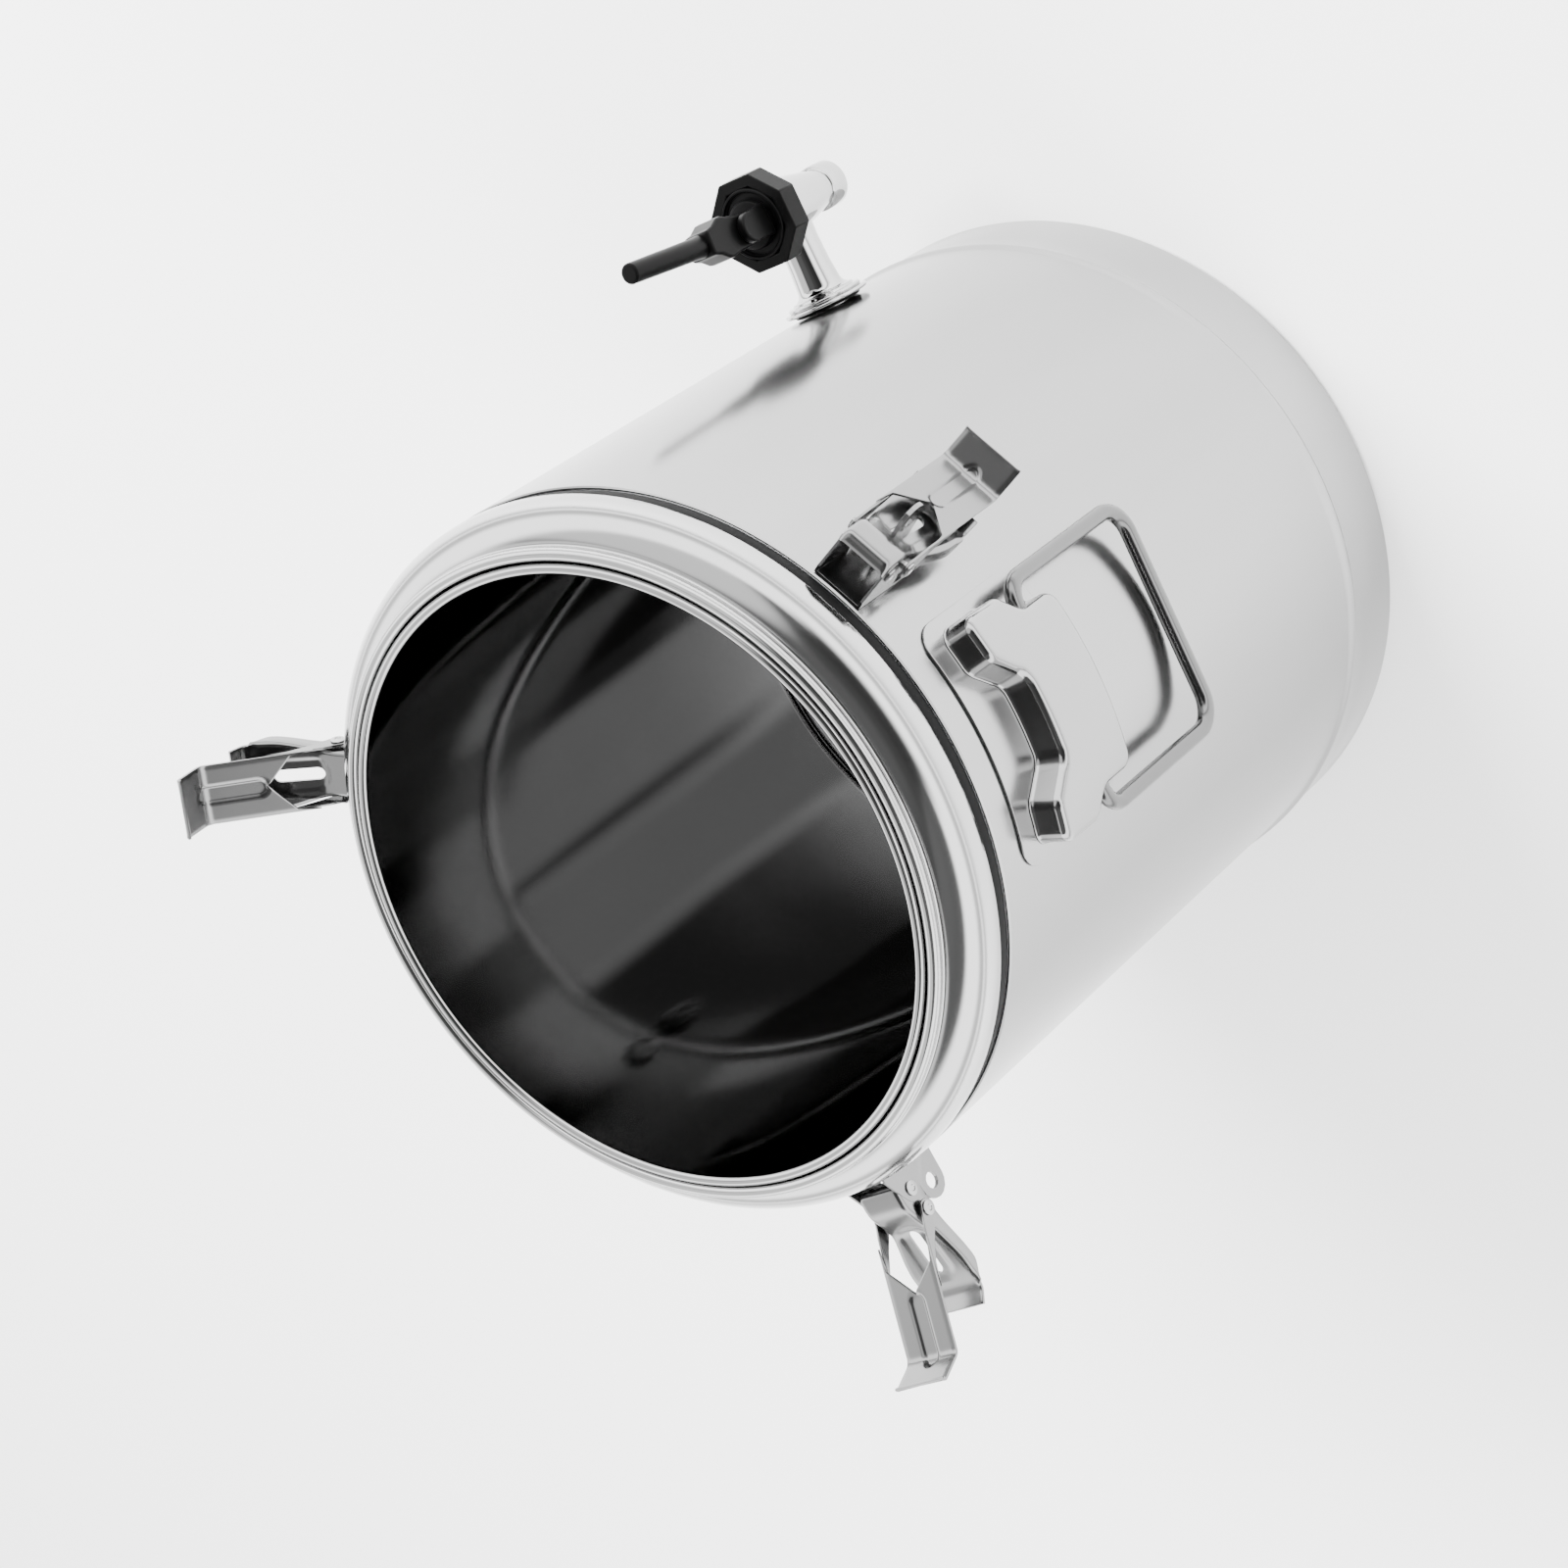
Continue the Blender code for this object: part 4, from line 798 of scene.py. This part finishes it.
HOOK_TOP, CLAW_AT, CLAW_L, CLAW_ANGLE = 0.0056, 0.0650, 0.0160, math.radians(51.0)
NOTCH_TIP, NOTCH_ARM, NOTCH_EDGE, ARM_FROM = 0.0350, 0.0225, 0.0120, 0.93
claw = (CLAW_AT + CLAW_L * math.cos(CLAW_ANGLE), HOOK_TOP + CLAW_L * math.sin(CLAW_ANGLE))
hem = (claw[0] - 0.0020 * math.sin(CLAW_ANGLE), claw[1] + 0.0020 * math.cos(CLAW_ANGLE))
hook_rows = curve_path([(0.0, 0.0, HOOK_TOP), (CLAW_AT, 0.0, HOOK_TOP), (claw[0], 0.0, claw[1]),
                        (hem[0], 0.0, hem[1])], 0.0026, 0.0014)
hook_length = sum((b - a).length for a, b in zip(hook_rows, hook_rows[1:]))


def along_hook(distance):
    """The place at a distance along the hook's line, and the way the line runs there."""
    for a, b in zip(hook_rows, hook_rows[1:]):
        step = (b - a).length
        if distance <= step:
            return a + (b - a) * distance / step, (b - a).normalized()
        distance -= step
    return hook_rows[-1], (hook_rows[-1] - hook_rows[-2]).normalized()


HOOK_STEPS = 64


def hook_shape(row, side):
    """The hook's sheet: notched at the pin end, dished along its middle, ending in the claw."""
    share = abs(side)
    start = NOTCH_TIP + (NOTCH_ARM - NOTCH_TIP) * min(1.0, share / ARM_FROM)
    if share > ARM_FROM:
        start += (NOTCH_EDGE - NOTCH_ARM) * (share - ARM_FROM) / (1 - ARM_FROM)
    spot, heading = along_hook(start + (hook_length - start) * row / HOOK_STEPS)
    up = Vector((-heading.z, 0.0, heading.x))
    y = HOOK_HALF * side
    dent = 0.0011 * channel(spot.x, y, NOTCH_TIP - 0.001, CLAW_AT + 0.004, 0.0052, 0.0016)
    edge = 0.0002 * smooth_step(share, 0.85, 0.99)
    return spot + Vector((0.0, y, 0.0)) - up * (dent + edge)


def headed_pin(name, half):
    """A turned pin with a shallow dished head at each end, lying along Y."""
    inside = half + 0.00018
    shoulder = inside + 0.6 * HEAD_H
    head = [(0.0, shoulder), (0.0012, shoulder), (0.0016, inside + HEAD_H),
            (0.0022, inside + HEAD_H), (HEAD_RADIUS, shoulder), (HEAD_RADIUS, inside),
            (PIN_RADIUS, inside)]
    pin = lathe(name, head + [(r, -z) for r, z in head[::-1]], 32)
    pin.data.transform(Matrix.Rotation(math.pi / 2, 4, "X"))
    return pin


for tag, (azimuth, lever_angle, hook_angle) in LATCHES.items():
    place = (Matrix.Rotation(math.radians(azimuth), 4, "Z")
             @ Matrix.Translation((SHELL_R + PIVOT_OUT, 0.0, PIVOT_Z))
             @ Matrix.Rotation(-math.radians(lever_angle), 4, "Y"))
    lever = pressed(f"lever_{tag}", len(lever_rows) - 1, 40, lever_shape)
    thicken(lever)
    slot_shape = (arc(SLOT_FROM + SLOT_HALF, 0.0, SLOT_HALF, 270, 90, 10)
                  + arc(SLOT_TO - SLOT_HALF, 0.0, SLOT_HALF, 90, -90, 10))
    slot_tool = slab("slot_tool", slot_shape, SLOT_CUT, -SLOT_CUT / 2)
    finish_mesh()
    combine(lever, slot_tool, "DIFFERENCE")
    bpy.ops.object.shade_smooth_by_angle(angle=math.radians(40))
    lever.data.transform(place)
    dress(lever, latch_steel_painted_shade, f"latch_{tag}_lever", "stamped_steel", f"latch_{tag}_lever")

    lever_pin = headed_pin(f"lever_pin_{tag}", BRACKET_HALF)
    lever_pin.data.transform(place)
    dress(lever_pin, pin_steel, f"latch_{tag}_lever", "pin_steel", f"latch_{tag}_lever_pin")
    hook_pin = headed_pin(f"hook_pin_{tag}", HOOK_HALF)
    hook_pin.data.transform(place @ Matrix.Translation((HOOK_PIVOT, 0.0, 0.0)))
    dress(hook_pin, pin_steel, f"latch_{tag}_lever", "pin_steel", f"latch_{tag}_hook_pin")

    hook = pressed(f"hook_{tag}", HOOK_STEPS, 44, hook_shape)
    thicken(hook)
    side_view = (arc(0.0, 0.0, 0.0046, -60, -235, 14)
                 + [(0.008, HOOK_TOP - 0.0004), (0.0230, HOOK_TOP - 0.0003),
                    (0.0350, HOOK_TOP - LATCH_SHEET), (0.0240, HOOK_TOP - 0.0018), (0.0150, 0.0012)])
    ears = [ear(f"ear_{i}", side_view, y, y + LATCH_SHEET)
            for i, y in enumerate((-HOOK_HALF, HOOK_HALF - LATCH_SHEET))]
    join_into(hook, *ears)
    bpy.ops.object.shade_smooth_by_angle(angle=math.radians(40))
    hook.data.transform(place @ Matrix.Translation((HOOK_PIVOT, 0.0, 0.0))
                        @ Matrix.Rotation(-math.radians(hook_angle), 4, "Y"))
    dress(hook, latch_steel_painted_shade, f"latch_{tag}_hook", "stamped_steel", f"latch_{tag}_hook")

    finish_node(f"latch_{tag}_bracket", latch_steel_painted_shade)

# The brackets and the inner nut keep their plain shapes, with their edges eased.
for name in ("latch_a_bracket", "latch_b_bracket", "latch_c_bracket", "tap_inner_nut"):
    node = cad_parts[name]
    weld = node.modifiers.new("Weld", "WELD")
    weld.merge_threshold = 0.00001
    ease = node.modifiers.new("Bevel", "BEVEL")
    ease.width = 0.0004
    ease.segments = 3
    ease.limit_method = "ANGLE"
    ease.angle_limit = math.radians(35)
